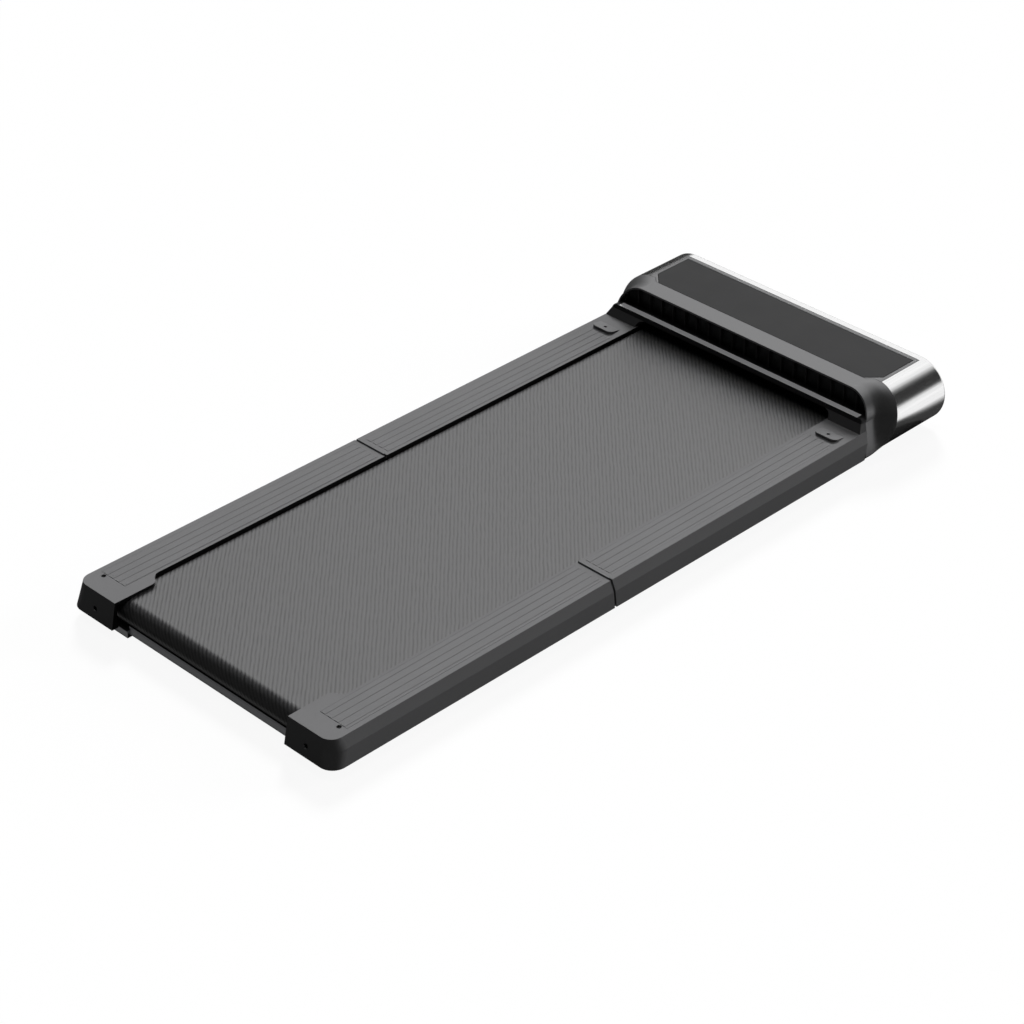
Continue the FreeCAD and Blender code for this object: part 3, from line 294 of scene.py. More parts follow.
def belt_pvc(name, base):
    """PVC belting with an embossed diagonal groove: a dark, shiny skin with dark streaks at 45 degrees.

    The grooves' pitch is 6.3 mm. Each has its own depth, which changes every 20 mm or so as the emboss wears.
    """
    pitch = 6.3 * MM
    breaks_per_metre = 45
    material, tree, shader = new_material(name, Roughness=0.35, IOR=1.7, Specular_IOR_Level=1.0)
    place = add(tree, "ShaderNodeUVMap", uv_map="along").outputs["UV"]
    turned = add(tree, "ShaderNodeMapping", {"Vector": place, "Rotation": (0, 0, math.radians(45))})
    wave = add(tree, "ShaderNodeTexWave", {"Vector": turned.outputs[0], "Scale": WAVE_PERIOD / pitch,
                                           "Distortion": 1.5, "Detail": 1.0, "Detail Scale": 0.6},
               wave_type="BANDS", bands_direction="X", wave_profile="SIN")
    groove = add(tree, "ShaderNodeMapRange", {"Value": wave.outputs["Fac"], "From Min": 0.15})
    streak = add(tree, "ShaderNodeMapping", {"Vector": turned.outputs[0],
                                             "Scale": (1 / pitch, breaks_per_metre, 1)})
    breaks = add(tree, "ShaderNodeTexNoise", {"Vector": streak.outputs[0], "Scale": 1.0, "Detail": 2.0})
    depth = add(tree, "ShaderNodeMapRange", {"Value": breaks.outputs["Fac"], "From Min": 0.36,
                                             "From Max": 0.64, "To Min": 0.5})
    grit = add(tree, "ShaderNodeTexNoise", {"Vector": place, "Scale": 1 / (1.6 * MM), "Detail": 2.0})
    cut = add(tree, "ShaderNodeMath", {0: groove.outputs[0], 1: depth.outputs[0]}, operation="MULTIPLY")
    worn = add(tree, "ShaderNodeMath", {0: grit.outputs["Fac"], 1: 0.2, 2: cut.outputs[0]},
               operation="MULTIPLY_ADD")
    tree.links.new(tinted(tree, worn.outputs[0], base, 1.6, 0.4), shader.inputs["Base Color"])
    bump = add(tree, "ShaderNodeBump", {"Height": worn.outputs[0], "Strength": 0.5, "Distance": 0.5 * MM},
               invert=True)
    tree.links.new(bump.outputs["Normal"], shader.inputs["Normal"])
    return material


def brushed_metal(name, base, roughness, spacing, along):
    """Brushed metal: hair lines that run along one axis spread the shine across them.

    The real lines are some tenths of a millimetre apart, drawn coarser so that they show.
    """
    material, tree, shader = new_material(name, Metallic=1.0)
    place = add(tree, "ShaderNodeTexCoord").outputs["Object"]
    lines_per_metre = 4.0
    scale = [1 / spacing] * 3
    scale["XYZ".index(along)] = lines_per_metre
    drawn = add(tree, "ShaderNodeMapping", {"Vector": place, "Scale": scale})
    hair = add(tree, "ShaderNodeTexNoise", {"Vector": drawn.outputs[0], "Scale": 1.0, "Detail": 3.0,
                                            "Roughness": 0.7})
    rough = add(tree, "ShaderNodeMapRange", {"Value": hair.outputs["Fac"], "To Min": roughness * 0.75,
                                             "To Max": roughness * 1.3})
    tree.links.new(rough.outputs[0], shader.inputs["Roughness"])
    tree.links.new(tinted(tree, hair.outputs["Fac"], base, 0.82, 1.1), shader.inputs["Base Color"])
    bump = add(tree, "ShaderNodeBump", {"Height": hair.outputs["Fac"], "Strength": 0.15,
                                        "Distance": 0.2 * MM})
    tree.links.new(bump.outputs["Normal"], shader.inputs["Normal"])
    return material


def satin_film(name, base):
    """Hard-coated acrylic panel: dark and even, with a broad satin shine and a trace of dust."""
    material, tree, shader = new_material(name, Roughness=0.42, IOR=1.49, Specular_IOR_Level=0.35)
    place = add(tree, "ShaderNodeTexCoord").outputs["Object"]
    haze_size = 60 * MM
    haze = add(tree, "ShaderNodeTexNoise", {"Vector": place, "Scale": 1 / haze_size, "Detail": 4.0})
    tree.links.new(tinted(tree, haze.outputs["Fac"], base, 0.96, 1.05), shader.inputs["Base Color"])
    rough = add(tree, "ShaderNodeMapRange", {"Value": haze.outputs["Fac"], "To Min": 0.38, "To Max": 0.46})
    tree.links.new(rough.outputs[0], shader.inputs["Roughness"])
    return material


def moulded_rubber(name, base):
    """Moulded rubber: dull and dark, with a fine bloom on its skin."""
    material, tree, shader = new_material(name, Roughness=0.75, IOR=1.52, Specular_IOR_Level=0.3)
    place = add(tree, "ShaderNodeTexCoord").outputs["Object"]
    bloom = add(tree, "ShaderNodeTexNoise", {"Vector": place, "Scale": 1 / (6 * MM), "Detail": 5.0})
    tree.links.new(tinted(tree, bloom.outputs["Fac"], base, 0.8, 1.3), shader.inputs["Base Color"])
    bump = add(tree, "ShaderNodeBump", {"Height": bloom.outputs["Fac"], "Strength": 0.15,
                                        "Distance": 0.2 * MM})
    tree.links.new(bump.outputs["Normal"], shader.inputs["Normal"])
    return material


def powder_coat(name, base):
    """Powder-coated steel: a thin skin with an orange-peel ripple of about 2 mm."""
    material, tree, shader = new_material(name, Roughness=0.45, IOR=1.5, Specular_IOR_Level=0.4)
    place = add(tree, "ShaderNodeTexCoord").outputs["Object"]
    peel = add(tree, "ShaderNodeTexNoise", {"Vector": place, "Scale": 1 / (2 * MM), "Detail": 1.0})
    tree.links.new(tinted(tree, peel.outputs["Fac"], base, 0.85, 1.2), shader.inputs["Base Color"])
    bump = add(tree, "ShaderNodeBump", {"Height": peel.outputs["Fac"], "Strength": 0.12,
                                        "Distance": 0.1 * MM})
    tree.links.new(bump.outputs["Normal"], shader.inputs["Normal"])
    return material


def pressed_board(name, base):
    """Laminated fibreboard: brown pressed fibres of about 3 mm under a dark wax film."""
    material, tree, shader = new_material(name, Roughness=0.6)
    place = add(tree, "ShaderNodeTexCoord").outputs["Object"]
    fibre = add(tree, "ShaderNodeTexNoise", {"Vector": place, "Scale": 1 / (3 * MM), "Detail": 6.0,
                                             "Roughness": 0.7})
    tree.links.new(tinted(tree, fibre.outputs["Fac"], base, 0.6, 1.35), shader.inputs["Base Color"])
    bump = add(tree, "ShaderNodeBump", {"Height": fibre.outputs["Fac"], "Strength": 0.2,
                                        "Distance": 0.2 * MM})
    tree.links.new(bump.outputs["Normal"], shader.inputs["Normal"])
    return material


def circuit_board(name):
    """Glass-fibre board with a green solder mask, and dull traces about 2 mm apart."""
    material, tree, shader = new_material(name, Roughness=0.35)
    place = add(tree, "ShaderNodeTexCoord").outputs["Object"]
    traces = add(tree, "ShaderNodeTexBrick", {"Vector": place, "Scale": 1 / (8 * MM), "Mortar Size": 0.12,
                                              "Color1": linear("#0f3a20"), "Color2": linear("#123f26"),
                                              "Mortar": linear("#2a6b3f")})
    tree.links.new(traces.outputs["Color"], shader.inputs["Base Color"])
    return material


MATERIALS = {}


def make_materials(colours):
    """One material for each slot of the record, and those of the faces that differ from their piece."""
    rail = moulded_abs("abs_rail_grey", colours.rail, 2.2 * MM, 0.5, 0.5)
    collar = flake_lacquer("graphite_lacquer", colours.collar, 0.65)
    black = moulded_abs("abs_black", colours.black, 2.0 * MM, 0.5, 0.2)
    steel = brushed_metal("turned_steel", colours.steel, 0.3, 0.6 * MM, "X")
    paint = powder_coat("powder_coated_steel", colours.paint)
    rubber = moulded_rubber("moulded_rubber", colours.rubber)
    MATERIALS.update({
        "frame_steel": paint,
        "deck_board": pressed_board("laminated_fibreboard", colours.board),
        "rail_plastic": rail,
        "grip_plastic": rail,
        "buffer_rubber": moulded_abs("abs_buffer_grey", colours.rail, 2.2 * MM, 0.5, 0.5),
        "hinge_steel": brushed_metal("zinc_plated_steel", colours.steel, 0.35, 0.8 * MM, "Y"),
        "hood_metal": brushed_metal("brushed_aluminium", colours.metal, 0.18, 3.5 * MM, "X"),
        "collar_plastic": collar,
        "frame_plastic": collar,
        "panel_plastic": satin_film("coated_acrylic", colours.panel),
        "lip_front": moulded_abs("abs_lip_black", colours.lip, 2.2 * MM, 0.5, 0.4),
        "lip_end": moulded_abs("abs_lip_grey", colours.lip_end, 2.2 * MM, 0.5, 0.4),
        # Painted light: near white on the lip's top, which lies in the hood's shade
        "lip_ledge_painted_light": moulded_abs("abs_ledge_painted_light", colours.ledge, 2.2 * MM, 0.4, 0.5),
        "grille_plastic": moulded_abs("abs_grille_black", colours.grille, 2.0 * MM, 0.5, 0.2),
        # Painted shade: black on the rail covers' walls beside the belt
        "belt_wall_shade": black,
        "roller_steel": steel,
        "belt_rubber": belt_pvc("embossed_pvc", colours.belt),
        "drive_rubber": rubber,
        "motor_paint": paint,
        "rotor_steel": steel,
        "board_plastic": circuit_board("circuit_board"),
        "inlet_plastic": black,
        "rocker_plastic": moulded_abs("abs_red", linear("#7a1a14"), 2.0 * MM, 0.3, 0.5),
        "wheel_rubber": rubber,
        "foot_rubber": rubber,
        "bar_steel": brushed_metal("satin_steel", linear("#c4c5c8"), 0.42, 2 * MM, "Y"),
        "bolt_steel": powder_coat("black_oxide_steel", linear("#0e0e0f")),
    })


def merged(node):
    """A merged copy of a CAD node's mesh, with its flat faces joined up."""
    bm = bmesh.new()
    bm.from_mesh(frame["nodes"][node].data)
    bmesh.ops.remove_doubles(bm, verts=bm.verts, dist=MERGE)
    bmesh.ops.dissolve_limit(bm, angle_limit=FLAT, verts=bm.verts, edges=bm.edges)
    return bm


def round_edges(bm, radius, wanted=None, segments=3, bend=SHARP):
    """Round each outward edge that bends by more than an angle and passes the test."""
    edges = [e for e in bm.edges if e.is_manifold and e.calc_face_angle_signed(0) > bend
             and (wanted is None or wanted(e))]
    if not edges:
        raise RuntimeError("no edge to round")
    bmesh.ops.bevel(bm, geom=edges, offset=radius, offset_type="OFFSET", segments=segments, profile=0.5,
                    affect="EDGES", clamp_overlap=True, material=-1)


def middle(edge):
    """The place half way along an edge."""
    return (edge.verts[0].co + edge.verts[1].co) / 2


def put(bm, name, slot, nodes=(), body=None, finish=None):
    """Make a bmesh a piece that rides on a body, and may stand for some CAD nodes."""
    mesh = bpy.data.meshes.new(name)
    bm.to_mesh(mesh)
    bm.free()
    mesh.shade_smooth()
    mesh.set_sharp_from_angle(angle=SMOOTH)
    piece = bpy.data.objects.new(name, mesh)
    bpy.context.scene.collection.objects.link(piece)
    mesh.materials.append(MATERIALS[finish or slot])
    if body:
        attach(piece, body)
    if nodes:
        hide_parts(*nodes)
    piece.modifiers.new("flat faces stay flat", "WEIGHTED_NORMAL").keep_sharp = True
    return piece


def refinish(piece, finish, wanted):
    """Give the faces that pass the test another finish than the rest of their piece."""
    mesh = piece.data
    mesh.materials.append(MATERIALS[finish])
    for face in mesh.polygons:
        if wanted(face.center, face.normal):
            face.material_index = len(mesh.materials) - 1


def dress(node, radius, wanted=None, segments=3, bend=SHARP, finish=None):
    """A CAD node with its edges rounded, as a piece of its own."""
    bm = merged(node)
    round_edges(bm, radius, wanted, segments, bend)
    return put(bm, "soft_" + node, SLOT_OF[node], [node], BODY_OF[node], finish)


def finish_node(node):
    """Give a CAD node that stays as it is its material."""
    mesh = frame["nodes"][node].data
    mesh.materials.clear()
    mesh.materials.append(MATERIALS[SLOT_OF[node]])


def both_sides(name):
    """The names of a left and a right node."""
    return [name + "_left", name + "_right"]


class PAD_OT_stage(Operator):
    """Set the camera, the lights, the floor and the world"""
    bl_idname = "pad.stage"
    bl_label = "Stage"

    def execute(self, context):
        stage = context.scene.pad_stage
        self.camera(context.scene, stage)
        key_way = Vector(stage.key_way).normalized()
        fill_way = Vector(stage.fill_way).normalized()
        self.lamp("key", key_way, stage.key_spread, stage.key_level * math.pi / key_way.z)
        self.lamp("top", Vector((0, 0, 1)), stage.top_spread, stage.top_level * math.pi)
        self.lamp("fill", fill_way, stage.fill_spread, stage.fill_level * math.pi)
        self.floor(context.scene.pad_colours.floor)
        self.world(context.scene, stage.ambient)
        context.scene.view_settings.view_transform = "Standard"
        return {"FINISHED"}

    def camera(self, scene, stage):
        """The camera that was solved from the photograph."""
        data = bpy.data.cameras.new("camera")
        data.lens = stage.lens
        data.sensor_width = 36.0
        data.clip_end = 50.0
        camera = bpy.data.objects.new("camera", data)
        camera.location = stage.camera_place
        camera.rotation_euler = Vector(stage.camera_aim).to_track_quat("-Z", "Y").to_euler()
        scene.collection.objects.link(camera)
        scene.camera = camera

    def lamp(self, name, way, spread, strength):
        """A far lamp, seen under an angle, which shiny faces don't mirror."""
        data = bpy.data.lights.new(name, "SUN")
        data.energy = strength
        data.angle = spread
        lamp = bpy.data.objects.new(name, data)
        lamp.rotation_euler = way.to_track_quat("Z", "Y").to_euler()
        lamp.visible_glossy = False
        bpy.context.scene.collection.objects.link(lamp)

    def floor(self, pale):
        """A pale floor, in plain shadow under the pad and washed white round it.

        Shiny faces see it dark, but for a white card beside the hood, and pale ones before the hood and
        behind the rear bar.
        """
        bm = bmesh.new()
        bmesh.ops.create_grid(bm, x_segments=1, y_segments=1, size=FLOOR_REACH)
        mesh = bpy.data.meshes.new("studio_floor")
        bm.to_mesh(mesh)
        bm.free()
        floor = bpy.data.objects.new("studio_floor", mesh)
        bpy.context.scene.collection.objects.link(floor)
        material = bpy.data.materials.new("pale_floor")
        material.use_nodes = True
        tree = material.node_tree
        tree.nodes.clear()
        path = add(tree, "ShaderNodeLightPath")
        place = add(tree, "ShaderNodeSeparateXYZ", {0: add(tree, "ShaderNodeTexCoord").outputs["Object"]})
        lit = add(tree, "ShaderNodeBsdfDiffuse", {"Color": pale})
        dim = add(tree, "ShaderNodeBsdfDiffuse", {"Color": FLOOR_DIM})
        white = add(tree, "ShaderNodeEmission", {"Color": WHITE, "Strength": 1.0})
        under = cards(tree, place, (UNDER_PAD,))
        wash = add(tree, "ShaderNodeMapRange", {"Value": under, "To Min": FLOOR_WASH, "To Max": 0.0})
        shown = add(tree, "ShaderNodeMixShader", {"Fac": wash.outputs[0], 1: lit.outputs[0],
                                                  2: white.outputs[0]})
        pale_places = cards(tree, place, (BESIDE_HOOD, BEFORE_HOOD, BEHIND_BAR))
        bright = add(tree, "ShaderNodeMath", {0: path.outputs["Is Glossy Ray"], 1: pale_places},
                     operation="MULTIPLY")
        mirrored = add(tree, "ShaderNodeMixShader", {"Fac": bright.outputs[0], 1: dim.outputs[0],
                                                     2: white.outputs[0]})
        seen = add(tree, "ShaderNodeMath", {0: path.outputs["Is Camera Ray"],
                                            1: path.outputs["Is Transmission Ray"]}, operation="MAXIMUM")
        final = add(tree, "ShaderNodeMixShader", {"Fac": seen.outputs[0], 1: mirrored.outputs[0],
                                                  2: shown.outputs[0]})
        add(tree, "ShaderNodeOutputMaterial", {"Surface": final.outputs[0]})
        mesh.materials.append(material)

    def world(self, scene, ambient):
        """White to the eye and to shiny faces, which also see dark cards high right, left and rear."""
        world = bpy.data.worlds.new("studio")
        world.use_nodes = True
        tree = world.node_tree
        tree.nodes.clear()
        path = add(tree, "ShaderNodeLightPath")
        way = add(tree, "ShaderNodeSeparateXYZ", {0: add(tree, "ShaderNodeTexCoord").outputs["Generated"]})
        dark = cards(tree, way, (HIGH_RIGHT, LOW_LEFT, REAR))
        shine = add(tree, "ShaderNodeMapRange", {"Value": dark, "To Min": 1.0, "To Max": DARK_SKY})
        clear = add(tree, "ShaderNodeMath", {0: path.outputs["Is Camera Ray"],
                                             1: path.outputs["Is Transmission Ray"]}, operation="MAXIMUM")
        glossy = add(tree, "ShaderNodeMath", {0: path.outputs["Is Glossy Ray"], 1: shine.outputs[0]},
                     operation="MULTIPLY")
        level = add(tree, "ShaderNodeMath", {0: clear.outputs[0], 1: glossy.outputs[0]}, operation="MAXIMUM")
        level = add(tree, "ShaderNodeMath", {0: level.outputs[0], 1: ambient}, operation="MAXIMUM")
        back = add(tree, "ShaderNodeBackground", {"Color": WHITE, "Strength": level.outputs[0]})
        add(tree, "ShaderNodeOutputWorld", {"Surface": back.outputs[0]})
        scene.world = world


class PAD_OT_rails(Operator):
    """Dress the rail covers and their grip strips"""
    bl_idname = "pad.rails"
    bl_label = "Rails"
    # What the tests go by: the walls' reach from the belt, where painted shade covers them, how near the top
    # and the crease an edge lies, how far the ribs rise above the cover, and the shortest edge to round
    wall_reach = 5 * MM
    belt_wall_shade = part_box("walking_belt")[1].y + wall_reach
    near_top = 0.7 * MM
    near_crease = 0.1 * MM
    rib_rise = 0.2 * MM
    shortest = 0.5 * MM

    def execute(self, context):
        sizes = context.scene.pad_sizes
        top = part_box("front_rail_cover_left")[1].z
        for end in ("front_", "rear_"):
            for node in both_sides(end + "rail_cover"):
                cover = dress(node, sizes.rail_edge, lambda e: self.outside(e, top, sizes.facet_drop),
                              bend=FAINT)
                # The walls turned to the belt get painted shade: black for the shade in the gap beside the belt
                refinish(cover, "belt_wall_shade", self.shaded_toward_belt)
            for node in both_sides(end + "grip_strip"):
                dress(node, sizes.rib_edge, lambda e: middle(e).z > top + self.rib_rise, 2)
        return {"FINISHED"}

    def outside(self, edge, top, facet_drop):
        """True for an edge of a cover's top, round the strip's pocket too, and for the side's crease."""
        low = min(v.co.z for v in edge.verts)
        high = max(v.co.z for v in edge.verts)
        crease = abs(low - top + facet_drop) < self.near_crease and high - low < self.near_crease
        edging = low > top - self.near_top and edge.calc_face_angle(0) > SHARP
        return (crease or edging) and edge.calc_length() > self.shortest

    def shaded_toward_belt(self, place, normal):
        """True for the wall that a cover turns to the belt, which is painted black as painted shade of the gap
        beside the belt.
        """
        side = 1 if place.y > 0 else -1
        return normal.y * side < -FACING and abs(place.y) < self.belt_wall_shade


class PAD_OT_belt(Operator):
    """Model the walking belt as one loop, in fine steps across the fold"""
    bl_idname = "pad.belt"
    bl_label = "Walking belt"

    def execute(self, context):
        sizes = context.scene.pad_sizes
        low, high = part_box("walking_belt")
        radius = (high.z - low.z) / 2
        axis_z = (high.z + low.z) / 2
        front = Vector((high.x - radius, 0, axis_z))
        rear = Vector((low.x + radius, 0, axis_z))
        bend = sizes.belt_bend
        steps = sizes.straight_steps
        inner = high.z - sizes.belt_thickness
        bm = bmesh.new()
        corners = [bm.verts.new((rear.x, y, z)) for y, z in (
            (low.y, high.z), (high.y, high.z), (high.y, inner), (low.y, inner))]
        start = bm.faces.new(corners)
        ring = start.edges[:]
        section = self.run(bm, ring, FOLD.x - bend - rear.x, steps)
        section = self.run(bm, section, 2 * bend, sizes.bend_steps)
        section = self.run(bm, section, front.x - FOLD.x - bend, steps)
        section = self.turn(bm, section, front, sizes.roller_steps)
        section = self.run(bm, section, FOLD.x + bend - front.x, steps)
        section = self.run(bm, section, -2 * bend, sizes.bend_steps)
        section = self.run(bm, section, rear.x - FOLD.x + bend, steps)
        self.turn(bm, section, rear, sizes.roller_steps)
        bmesh.ops.delete(bm, geom=[start], context="FACES_ONLY")
        bmesh.ops.remove_doubles(bm, verts=bm.verts, dist=MERGE)
        bmesh.ops.recalc_face_normals(bm, faces=bm.faces)
        round_edges(bm, sizes.belt_edge, segments=2)
        self.lay_out(bm, front, rear, axis_z)
        belt = put(bm, "walking_belt_loop", "belt_rubber", ["walking_belt"])
        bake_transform(belt)
        return {"FINISHED"}

    def run(self, bm, edges, travel, steps):
        """Draw the belt's section straight on, in steps."""
        for _ in range(steps):
            made = bmesh.ops.extrude_edge_only(bm, edges=edges)["geom"]
            verts = [g for g in made if isinstance(g, bmesh.types.BMVert)]
            edges = [g for g in made if isinstance(g, bmesh.types.BMEdge)]
            edges = [e for e in edges if all(v in verts for v in e.verts)]
            bmesh.ops.translate(bm, verts=verts, vec=(travel / steps, 0, 0))
        return edges

    def turn(self, bm, edges, centre, steps):
        """Take the belt's section half way round a roller."""
        made = bmesh.ops.spin(bm, geom=edges, cent=centre, axis=(0, 1, 0), angle=math.pi, steps=steps,
                              use_merge=False)["geom_last"]
        return [g for g in made if isinstance(g, bmesh.types.BMEdge)]

    def lay_out(self, bm, front, rear, axis_z):
        """Map the belt by the way along it and the way across it, in metres."""
        layer = bm.loops.layers.uv.new("along")
        half = front.x - rear.x
        for face in bm.faces:
            for loop in face.loops:
                co = loop.vert.co
                under = face.calc_center_median().z < axis_z
                along = half + half - (co.x - rear.x) if under else co.x - rear.x
                if co.x > front.x:
                    along = half + math.atan2(co.x - front.x, co.z - axis_z) * (co - front).xz.length
                if co.x < rear.x:
                    along = -math.atan2(rear.x - co.x, co.z - axis_z) * (co - rear).xz.length
                loop[layer].uv = (along, co.y)


class PAD_OT_hood(Operator):
    """Dress the collar, the metal sleeve and the top panel"""
    bl_idname = "pad.hood"
    bl_label = "Hood"

    def execute(self, context):
        sizes = context.scene.pad_sizes
        dress("hood_sleeve", sizes.metal_edge)
        dress("hood_collar", sizes.plastic_edge)
        dress("panel_frame", sizes.trim_edge)
        dress("top_panel", sizes.trim_edge)
        return {"FINISHED"}


class PAD_OT_mouth(Operator):
    """Dress the lip over the belt mouth, its sloped ends and the vent grille"""
    bl_idname = "pad.mouth"
    bl_label = "Belt mouth"
    # How far below the lip's highest place its top may lie
    top_drop = 2 * MM

    def execute(self, context):
        sizes = context.scene.pad_sizes
        self.lip(sizes)
        for node in both_sides("lip_end"):
            dress(node, sizes.plastic_edge, finish="lip_end")
        dress("vent_grille", sizes.metal_edge)
        return {"FINISHED"}

    def lip(self, sizes):
        """The lip with painted light on its top: a near-white finish on its upward faces, for light in the hood's
        shade, which stops short of the lip's two ends.
        """
        node = "hood_lip"
        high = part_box(node)[1]
        reach = high.y - sizes.ledge_inset
        bm = merged(node)
        round_edges(bm, sizes.plastic_edge)
        for end in (-reach, reach):
            bmesh.ops.bisect_plane(bm, geom=bm.verts[:] + bm.edges[:] + bm.faces[:], dist=MERGE,
                                   plane_co=(0, end, 0), plane_no=(0, 1, 0))
        lip = put(bm, "soft_" + node, SLOT_OF[node], [node], BODY_OF[node], "lip_front")
        below_top = high.z - self.top_drop
        # Painted light on the lip's upward faces
        refinish(lip, "lip_ledge_painted_light", lambda place, normal: (
            normal.z > FACING and place.z > below_top and abs(place.y) < reach))


class PAD_OT_fold(Operator):
    """Finish the hinges at the fold, and dress the buffers that the folded half lands on"""
    bl_idname = "pad.fold"
    bl_label = "Fold"

    def execute(self, context):
        sizes = context.scene.pad_sizes
        for node in both_sides("fold_buffer"):
            dress(node, sizes.plastic_edge)
        for name in ("front_hinge_leaf", "rear_hinge_leaf", "hinge_pin"):
            for node in both_sides(name):
                finish_node(node)
        return {"FINISHED"}


class PAD_OT_chassis(Operator):
    """Finish the tubes, decks, rollers, feet and wheels"""
    bl_idname = "pad.chassis"
    bl_label = "Chassis"

    def execute(self, context):
        sizes = context.scene.pad_sizes
        for name in ("front_foot", "middle_foot", "transport_wheel"):
            for node in both_sides(name):
                dress(node, sizes.rubber_edge)
        for node in both_sides("rear_foot"):
            dress(node, sizes.rubber_edge, finish="bar_steel")
        for name in ("front_side_tube", "rear_side_tube", "wheel_bracket"):
            for node in both_sides(name):
                dress(node, sizes.metal_edge)
        for node in both_sides("tension_bolt"):
            dress(node, sizes.metal_edge, finish="bolt_steel")
        dress("rear_cross_bar", sizes.metal_edge)
        self.bar_trim(sizes)
        for node in ("front_cross_tube_1", "front_cross_tube_2", "rear_cross_tube_1", "rear_cross_tube_2",
                     "front_deck", "rear_deck", "front_roller", "rear_roller", "front_axle", "rear_axle"):
            finish_node(node)
        return {"FINISHED"}

    def bar_trim(self, sizes):
        """A thin strip along the top of the rear bar's upright wall."""
        low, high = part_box("rear_cross_bar")
        size = Vector((sizes.bar_trim_thickness, high.y - low.y, sizes.bar_trim_height))
        bm = bmesh.new()
        bmesh.ops.create_cube(bm, size=1.0)
        bmesh.ops.scale(bm, verts=bm.verts, vec=size)
        bmesh.ops.translate(bm, verts=bm.verts, vec=Vector((low.x, low.y, high.z)) + size / 2)
        round_edges(bm, sizes.metal_edge, lambda e: middle(e).z > high.z + size.z / 2)
        put(bm, "bar_trim", "bar_steel", body="rear_half")


class PAD_OT_drive(Operator):
    """Finish the motor, its belt, the controller and the power inlet"""
    bl_idname = "pad.drive"
    bl_label = "Drive and power"

    def execute(self, context):
        sizes = context.scene.pad_sizes
        for node in ("motor_housing", "motor_rotor", "motor_mount", "drive_belt", "controller_board"):
            finish_node(node)
        dress("power_inlet", sizes.metal_edge)
        dress("power_rocker", sizes.metal_edge)
        return {"FINISHED"}


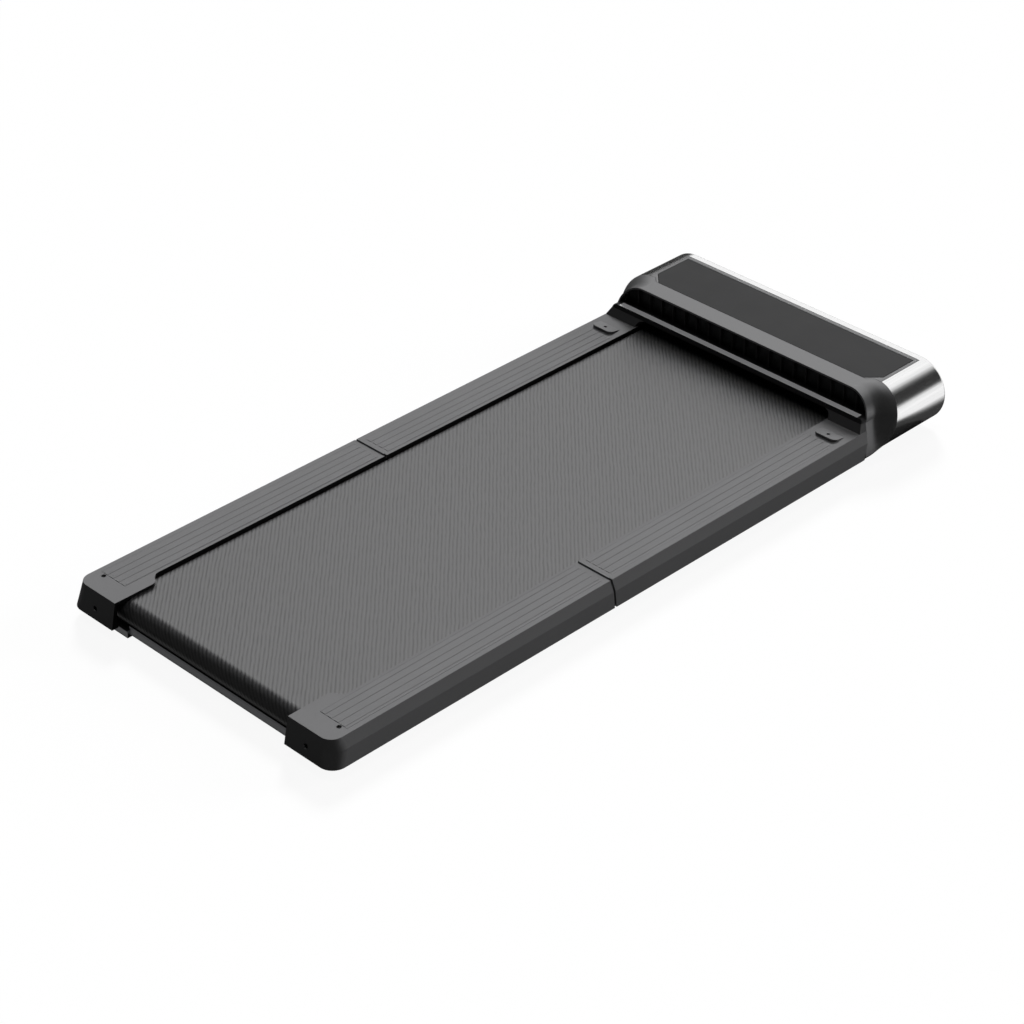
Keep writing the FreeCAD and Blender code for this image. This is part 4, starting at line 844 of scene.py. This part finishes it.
class PAD_OT_fasteners(Operator):
    """Add the screws in the corner caps and the fold buffers, and the plugs in the caps' rear faces"""
    bl_idname = "pad.fasteners"
    bl_label = "Fasteners"

    def execute(self, context):
        sizes = context.scene.pad_sizes
        for side in ("left", "right"):
            low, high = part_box("rear_rail_cover_" + side)
            inset = sizes.cap_screw_inset
            y = high.y - inset if side == "left" else low.y + inset
            under_top = Vector((low.x + sizes.cap_screw_setback, y, high.z - sizes.cap_wall))
            self.seat(self.flanged(sizes), "cap_screw_" + side, under_top, "rear_half")
            behind = sum(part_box("tension_bolt_" + side), Vector()) / 2
            behind.x = low.x + (behind.z - low.z) * math.tan(sizes.cap_lean) + sizes.cap_wall
            self.seat(self.flanged(sizes), "cap_plug_" + side, behind, "rear_half",
                      sizes.cap_lean - math.pi / 2)
            low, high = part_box("fold_buffer_" + side)
            foot = Vector(((low.x + high.x) / 2, (low.y + high.y) / 2, low.z))
            screw = self.head(sizes.buffer_screw_radius, sizes.buffer_screw_height)
            self.seat(screw, "buffer_screw_" + side, foot, "front_half")
        return {"FINISHED"}

    def flanged(self, sizes):
        """A cap's screw head with a flange below it, which bears on the inside of the wall."""
        bm = self.head(sizes.cap_screw_radius, sizes.cap_screw_height)
        made = bmesh.ops.create_cone(bm, cap_ends=True, segments=HEAD_SIDES, radius1=sizes.flange_radius,
                                     radius2=sizes.flange_radius, depth=sizes.flange_thickness)
        bmesh.ops.translate(bm, verts=made["verts"], vec=(0, 0, -sizes.flange_thickness / 2))
        return bm

    def head(self, radius, height):
        """A screw's head on the origin, with a hexagon socket in its top."""
        bm = bmesh.new()
        bmesh.ops.create_cone(bm, cap_ends=True, segments=HEAD_SIDES, radius1=radius, radius2=radius,
                              depth=height)
        bmesh.ops.translate(bm, verts=bm.verts, vec=(0, 0, height / 2))
        round_edges(bm, radius * HEAD_EDGE_SHARE, lambda e: min(v.co.z for v in e.verts) > height / 2)
        top = max(bm.faces, key=lambda f: f.calc_center_median().z)
        bmesh.ops.inset_region(bm, faces=[top], thickness=radius * HEAD_EDGE_SHARE)
        for vert in top.verts:
            turn = math.atan2(vert.co.y, vert.co.x)
            off_flat = (turn + math.pi / 6) % (math.pi / 3) - math.pi / 6
            reach = radius * SOCKET_SHARE / math.cos(off_flat)
            vert.co.x = reach * math.cos(turn)
            vert.co.y = reach * math.sin(turn)
        floor = bmesh.ops.extrude_discrete_faces(bm, faces=[top])["faces"]
        bmesh.ops.translate(bm, verts=floor[0].verts, vec=(0, 0, -height * SOCKET_DEPTH_SHARE))
        return bm

    def seat(self, bm, name, place, body, turn=0.0):
        """Put a screw in its place on a body, turned about the Y axis."""
        bmesh.ops.rotate(bm, verts=bm.verts, cent=(0, 0, 0), matrix=Matrix.Rotation(turn, 3, "Y"))
        bmesh.ops.translate(bm, verts=bm.verts, vec=place)
        put(bm, name, "hinge_steel", body=body, finish="bolt_steel")


class PAD_PT_panel(Panel):
    """The pad's sizes, colours and steps"""
    bl_label = "Walking pad"
    bl_idname = "PAD_PT_panel"
    bl_space_type = "VIEW_3D"
    bl_region_type = "UI"
    bl_category = "Walking pad"

    def draw(self, context):
        for operator in OPERATORS:
            self.layout.operator(operator.bl_idname)
        for group in (context.scene.pad_sizes, context.scene.pad_colours, context.scene.pad_stage):
            box = self.layout.box()
            for name in group.__annotations__:
                box.prop(group, name)


GROUPS = {"pad_sizes": PadSizes, "pad_colours": PadColours, "pad_stage": PadStage}
OPERATORS = (PAD_OT_stage, PAD_OT_rails, PAD_OT_belt, PAD_OT_hood, PAD_OT_mouth, PAD_OT_fold, PAD_OT_chassis,
             PAD_OT_drive, PAD_OT_fasteners)


def register():
    for name, group in GROUPS.items():
        bpy.utils.register_class(group)
        setattr(bpy.types.Scene, name, PointerProperty(type=group))
    for cls in OPERATORS + (PAD_PT_panel,):
        bpy.utils.register_class(cls)


def unregister():
    for cls in reversed(OPERATORS + (PAD_PT_panel,)):
        bpy.utils.unregister_class(cls)
    for name, group in GROUPS.items():
        delattr(bpy.types.Scene, name)
        bpy.utils.unregister_class(group)


def main():
    """Build the whole scene."""
    register()
    make_materials(bpy.context.scene.pad_colours)
    bpy.ops.pad.stage()
    bpy.ops.pad.rails()
    bpy.ops.pad.belt()
    bpy.ops.pad.hood()
    bpy.ops.pad.mouth()
    bpy.ops.pad.fold()
    bpy.ops.pad.chassis()
    bpy.ops.pad.drive()
    bpy.ops.pad.fasteners()


if __name__ == "__main__":
    main()
